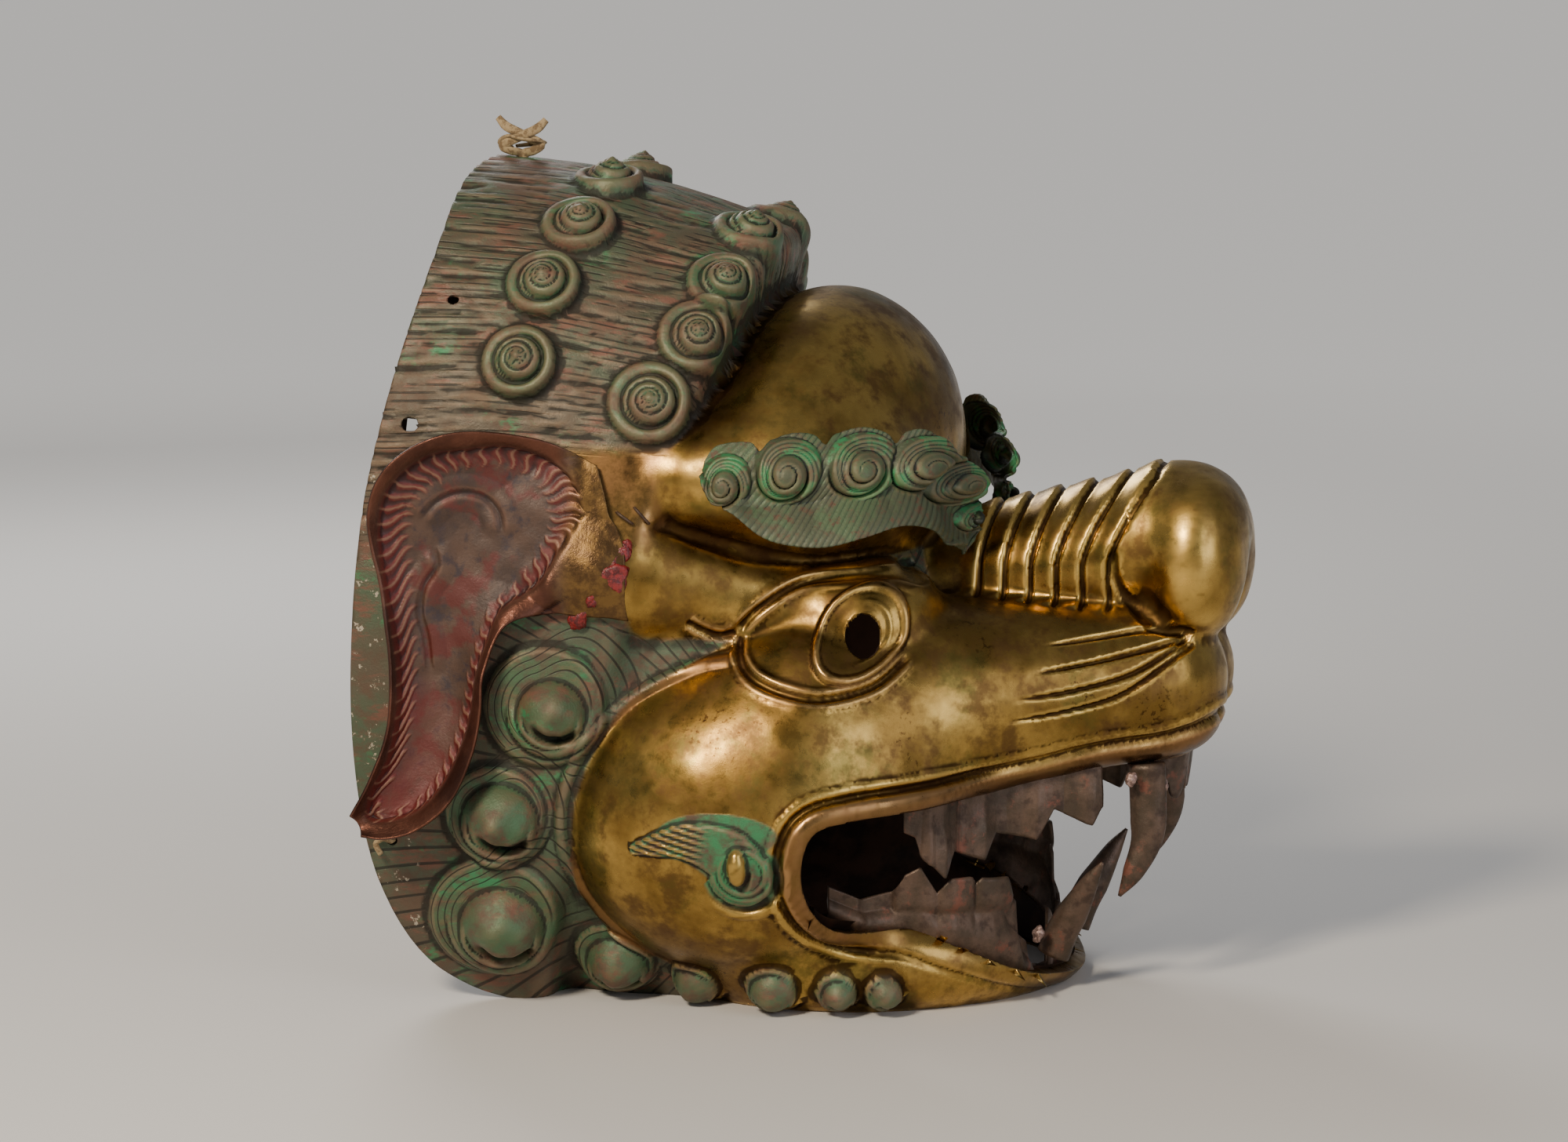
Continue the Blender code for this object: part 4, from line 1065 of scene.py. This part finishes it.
def upper_plates(columns, lines):
    x = np.linspace(57, 145, columns)
    y = np.interp(x, UPPER_LIP[:, 0], UPPER_LIP[:, 1]) * 0.96
    lip_z = np.interp(x, UPPER_LIP[:, 0], UPPER_LIP[:, 2])
    foot = np.interp(x, UPPER_TEETH[:, 0], UPPER_TEETH[:, 1])
    rows = between(np.stack([x, y, foot], 1), np.stack([x, y, lip_z + 4], 1), lines)
    points = behind_lip(rows, -1, TEETH_SHEET)
    facets = np.zeros(rows.shape[:2])
    for tip_x, tip_z in UPPER_TIPS:
        off = np.abs(rows[:, :, 0] - tip_x - 0.05 * (rows[:, :, 2] - tip_z)) / 11
        body = 2.6 * roll(off) + 1.8 * np.clip(1 - off / 0.5, 0, 1)
        facets = np.maximum(facets, body * (1 - 0.6 * ease(12, 28, rows[:, :, 2] - tip_z)))
    facets += 0.2 * ripple(rows.reshape(-1, 3), 24, 31).reshape(facets.shape)
    return points + outward(points) * facets[:, :, None]


def lower_band(columns, lines):
    half = along(LOWER_LIP, columns)
    line = np.vstack([half, (half * HAND)[-2::-1]])
    top = np.interp(line[:, 0], LOWER_TEETH[:, 0], LOWER_TEETH[:, 1])
    front = np.abs(line[:, 1]) < 24
    top = np.where(front, 22 + 15 * np.abs(np.cos(line[:, 1] * math.pi / 24)) ** 0.7, top)
    x, y = line[:, 0], line[:, 1] * 0.95
    rows = between(np.stack([x, y, np.maximum(line[:, 2] - 5, 3)], 1), np.stack([x, y, top], 1), lines)
    points = behind_lip(rows, 0, TEETH_SHEET)
    up = np.linspace(0, 1, lines)[:, None]
    swell = 3.2 * np.sin(np.pi * np.clip(up / 0.62, 0, 1)) + 0 * rows[:, :, 0]
    for crown_x, width in LOWER_CROWNS:
        crown = np.clip(1 - ((rows[:, :, 0] - crown_x) / width) ** 4, 0, 1) ** 0.5
        swell = np.maximum(swell, 3.8 * crown * ease(44, 52, rows[:, :, 2]))
    swell += 0.3 * ripple(rows.reshape(-1, 3), 30, 32).reshape(swell.shape)
    return points + outward(points) * swell[:, :, None]


def front_plates(columns, lines):
    half = along(np.array([(163, -36, 112), (172, -26, 116), (179, -14, 119), (183, 0, 121)], float), columns)
    line = np.vstack([half, (half * HAND)[-2::-1]])
    place_in_row = np.arange(len(line)) / (len(line) - 1) * 5
    drop = 12 + 14 * np.abs(np.sin(np.pi * place_in_row)) ** 0.45
    rows = between(line - np.stack([drop * 0.15, drop * 0, drop], 1), line + [0, 0, 4], lines)
    return behind_lip(rows, -1, TEETH_SHEET)


def drawn_rod(name, path, radii, squash, sides):
    """A closed rod along a path, spun up from one ring, its section squashed sideways."""
    path = np.array(path, float)
    ahead = np.gradient(path, axis=0)
    ahead /= np.linalg.norm(ahead, axis=1, keepdims=True)
    bm = bmesh.new()
    bmesh.ops.create_circle(bm, cap_ends=True, segments=sides, radius=1)
    ring = list(bm.verts)
    edges = list(bm.edges)
    side = np.array([0.0, 1.0, 0.0])
    for number, (centre, forward, radius) in enumerate(zip(path, ahead, radii)):
        side = side - forward * (side @ forward)
        side /= np.linalg.norm(side)
        over = np.cross(forward, side)
        if number:
            made = bmesh.ops.extrude_edge_only(bm, edges=edges)["geom"]
            ring = [element for element in made if isinstance(element, bmesh.types.BMVert)]
            ring.sort(key=lambda corner: order[tuple(corner.co)])
            edges = [e for e in made if isinstance(e, bmesh.types.BMEdge) and e.is_boundary]
        order = {}
        for i, v in enumerate(ring):
            turn = i * 2 * math.pi / sides
            v.co = Vector(centre + radius * (math.cos(turn) * over + squash * math.sin(turn) * side)) * MM
            order[tuple(v.co)] = i
    bmesh.ops.contextual_create(bm, geom=edges)
    bmesh.ops.recalc_face_normals(bm, faces=bm.faces[:])
    return add_piece(name, mesh_of(bm, name))


# Copper left ungilt: grey-brown smoke crust with a metallic glint, redder where it is rubbed
tooth, tree, shader = new_material("smoked_copper_teeth")
clouds, mottle = patches(tree, 17, 5, 0.64), patches(tree, 7)
crust = lay(tree, "#45382B", "#5E4A3C", clouds, 0.38, 0.62)
crust = lay(tree, crust, "#35261E", mottle, 0.5, 0.68, most=0.7)
crust = lay(tree, crust, "#7A4A3A", patches(tree, 12, 5, 0.7), 0.56, 0.68, most=0.8)
feed(tree, shader, {"Base Color": crust, "Metallic": 0.45, "Normal": gritty(tree, 1.5, 0.4),
                    "Roughness": spread(tree, mottle, 0.3, 0.7, 0.38, 0.6)})

for name, hand, out in (("right", 1, (0.3, -1, 0)), ("left", HAND, (0.3, 1, 0))):
    settle(laid_sheet("molar_plates_" + name, upper_plates(180, 22) * hand, TEETH_SHEET, out),
           "upper_molars_" + name, tooth)
    upper = smooth_line([(157, -34, 112), (158, -34, 94), (158, -36, 76), (152, -39, 60), (146, -41, 49)], 7)
    thick = np.interp(np.linspace(0, 1, len(upper)), [0, 0.4, 0.75, 1], [9, 8.6, 5, 0.8])
    settle(drawn_rod("upper_fang_" + name, on_head(upper * hand), thick, 0.6, 24),
           "upper_canine_" + name, tooth)
    lower = smooth_line([(112, -34, 18), (117, -35, 30), (125, -37, 44), (132, -40, 56), (138, -42, 65)], 7)
    thick = np.interp(np.linspace(0, 1, len(lower)), [0, 0.4, 0.75, 1], [8, 7.5, 4, 0.8])
    settle(drawn_rod("lower_fang_" + name, on_head(lower * hand), thick, 0.7, 24),
           "lower_canine_" + name, tooth)
for name, rows, node in (("lower_tooth_band", lower_band(170, 22), "lower_gum"),
                         ("front_tooth_plates", front_plates(60, 12), "upper_incisors")):
    settle(laid_sheet(name, rows, TEETH_SHEET, (1, 0, 0)), node, tooth)


# A short remnant of flat tape is knotted through the hole at the crown: two ends crossed and
# pulled tight, standing up stiff with old size.
TAPE = 4.6
knot, tree, shader = new_material("old_cotton_tape")
cloth = lay(tree, "#A08A66", "#6F5A3E", patches(tree, 3, 3, 0.7), 0.4, 0.62)
feed(tree, shader, {"Base Color": cloth, "Roughness": 0.9})
across_knot = [
    [(0, 0, -8), (0, -1, 1), (-5, -4, 3), (-9, -4, 5), (-4, -6, 8), (3, -6, 11), (9, -5, 14), (13, -4, 18)],
    [(1, 0, -8), (1, -1, 1), (6, -3, 3), (10, -3, 6), (5, -4, 9), (-1, -5, 12), (-7, -5, 15), (-11, -4, 19)],
    [(-6, 1, 3), (-10, -1, 7), (-5, -6, 10), (1, -8, 9), (7, -6, 8), (10, 0, 7), (4, 3, 6), (-4, 3, 5)],
]
for number, path in enumerate(across_knot):
    path = crown_at + smooth_line(path, 5)
    thick = np.full(len(path), TAPE / 2) * (1 - 0.25 * ease(0.85, 1, np.linspace(0, 1, len(path))))
    settle(drawn_rod(f"crown_knot_{number + 1}", path, thick, 0.45, 12), "crown_tie", knot)


# Where the ears meet the face, the joint is stopped with red wax and pinned with bent wire; the
# fangs are held by dabs of solder, and a stub of old cord is left in the lower hole of the rim.
def dab(name, at, out, across, thick, seed):
    """A small uneven lump pressed flat on a surface."""
    bm = bmesh.new()
    bmesh.ops.create_icosphere(bm, subdivisions=4, radius=1)
    mesh = mesh_of(bm, name)
    ball = coordinates(mesh)
    ball *= 1 + 0.2 * ripple(ball, 1.2, seed)[:, None] + 0.06 * ripple(ball, 0.4, seed + 1)[:, None]
    ahead, side = curl_axes(out, (0.5, 0, 1))
    spread_out = ball @ (np.stack([across * ahead, 0.7 * across * side, thick * out]) / 2)
    place(mesh, (at + spread_out) * MM)
    return add_piece(name, mesh)


# Sealing wax: glossy dark red with crazed crumbs; solder: dull pinkish grey
wax, tree, shader = new_material("red_sealing_wax")
feed(tree, shader, {"Base Color": lay(tree, "#4C1415", "#822422", patches(tree, 2.5, 4, 0.7), 0.4, 0.6),
                    "Roughness": 0.3,
                    "Normal": add_node(tree, "Bump", {}, {"Strength": 0.7, "Distance": 0.0008,
                                                          "Height": patches(tree, 2.0, 4, 0.7)})})
solder, tree, shader = new_material("grey_solder")
feed(tree, shader, {"Base Color": lay(tree, "#6E5850", "#A58A80", patches(tree, 2.0, 4, 0.7), 0.4, 0.6),
                    "Metallic": 0.6, "Roughness": 0.5})

WAX_LUMPS = ((-71, 218, 11, 4), (-74, 208, 17, 6), (-84, 197, 10, 5), (-91, 188, 12, 5))
SOLDER_DABS = ((152, -45, 106, 7), (165, -33, 101, 7), (108, -47, 30, 8))
STAPLES = (((-75, 236), (-68, 231)), ((-67, 238), (-61, 231)), ((-79, 28), (-74, 26)))
for number, (x, z, across, thick) in enumerate(WAX_LUMPS):
    at, out = side_seat(x, z)
    piece = dab(f"ear_wax_{number + 1}", at + out * 2.4, out, across, thick, 40 + number)
    settle(piece, None, wax)
for number, (*at, across) in enumerate(SOLDER_DABS):
    out = np.array([0.3, -0.95, 0.1])
    piece = dab(f"solder_dab_{number + 1}", on_head([at])[0], out, across, 5, 50 + number)
    settle(piece, None, solder)
for number, (first, last) in enumerate(STAPLES):
    (a, out), (b, _) = side_seat(*first), side_seat(*last)
    path = [a - out * 3, a + out * 2, a * 0.6 + b * 0.4 + out * 4.5, b + out * 2, b - out * 3]
    path = smooth_line(path, 4)
    piece = drawn_rod(f"wire_staple_{number + 1}", path, np.full(len(path), 0.7), 1.0, 8)
    settle(piece, None, tooth)
at, out = side_seat(-184, 80)
path = [at - out * 5, at + out, at + out * 4 + [-3, 0, 2],
        at + out * 3 + [-7, 0, -1], at + out * 5 + [-4, 0, -5]]
path = smooth_line(path, 5)
piece = drawn_rod("rim_cord_stub", path, np.full(len(path), 1.5), 0.8, 10)
settle(piece, None, knot)


# The mask stands on its lower edge on a sheet of pale studio paper under soft lamps. The far floor
# glows a little more with distance, so that the paper stays pale right up to the top of the view.
FLOOR_SPAN = 60.0
bm = bmesh.new()
bmesh.ops.create_grid(bm, x_segments=1, y_segments=1, size=FLOOR_SPAN)
floor_mesh = mesh_of(bm, "floor")
floor = bpy.data.objects.new("floor", floor_mesh)
bpy.context.scene.collection.objects.link(floor)
paper, tree, shader = new_material("pale_studio_paper")
reach = add_node(tree, "VectorMath", {"operation": "LENGTH"},
                 {0: add_node(tree, "TexCoord", {}, {}, "Object")}, "Value")
feed(tree, shader, {"Base Color": "#D8D4CE", "Roughness": 0.8, "Emission Color": "#D8D4CE",
                    "Emission Strength": spread(tree, reach, 0.4, 3.2, 0.0, 0.58)})
floor_mesh.materials.append(paper)

world = bpy.data.worlds.new("studio")
world.use_nodes = True
feed(world.node_tree, world.node_tree.nodes["Background"], {"Color": "#CFD3DA", "Strength": 0.35})
bpy.context.scene.world = world


def soft_light(name, at, aim, size, power, code):
    lamp = bpy.data.lights.new(name, "AREA")
    lamp.size = size
    lamp.energy = power
    lamp.color = hex_colour(code)[:3]
    made = bpy.data.objects.new(name, lamp)
    made.location = at
    made.rotation_euler = (Vector(aim) - Vector(at)).to_track_quat("-Z", "Y").to_euler()
    bpy.context.scene.collection.objects.link(made)


soft_light("key", (-0.45, -1.5, 1.2), (0, 0, 0.2), 0.34, 32, "#FFF1DC")
soft_light("fill", (1.6, -1.2, 0.7), (0, 0, 0.2), 1.2, 12, "#EEF2FF")
soft_light("rim", (-0.9, 1.3, 1.2), (0, 0, 0.2), 0.8, 16, "#FFFFFF")

# The camera stands 2.2 m off, 12 degrees towards the nose from the right side and 8 degrees up
VIEW_AZIMUTH, VIEW_ELEVATION, VIEW_DISTANCE = math.radians(12), math.radians(8), 2.2
AIM = Vector((-0.025, 0, 0.1935))
level_reach = math.cos(VIEW_ELEVATION)
back = Vector((math.sin(VIEW_AZIMUTH) * level_reach, -math.cos(VIEW_AZIMUTH) * level_reach,
               math.sin(VIEW_ELEVATION)))
PHOTO_WIDTH, METRES_PER_PIXEL = 2000, 0.00038
lens = bpy.data.cameras.new("camera")
lens.sensor_width = 36
lens.lens = 36 * VIEW_DISTANCE / (PHOTO_WIDTH * METRES_PER_PIXEL)
camera = bpy.data.objects.new("camera", lens)
camera.location = AIM + back * VIEW_DISTANCE
camera.rotation_euler = back.to_track_quat("Z", "Y").to_euler()
bpy.context.scene.collection.objects.link(camera)
bpy.context.scene.camera = camera
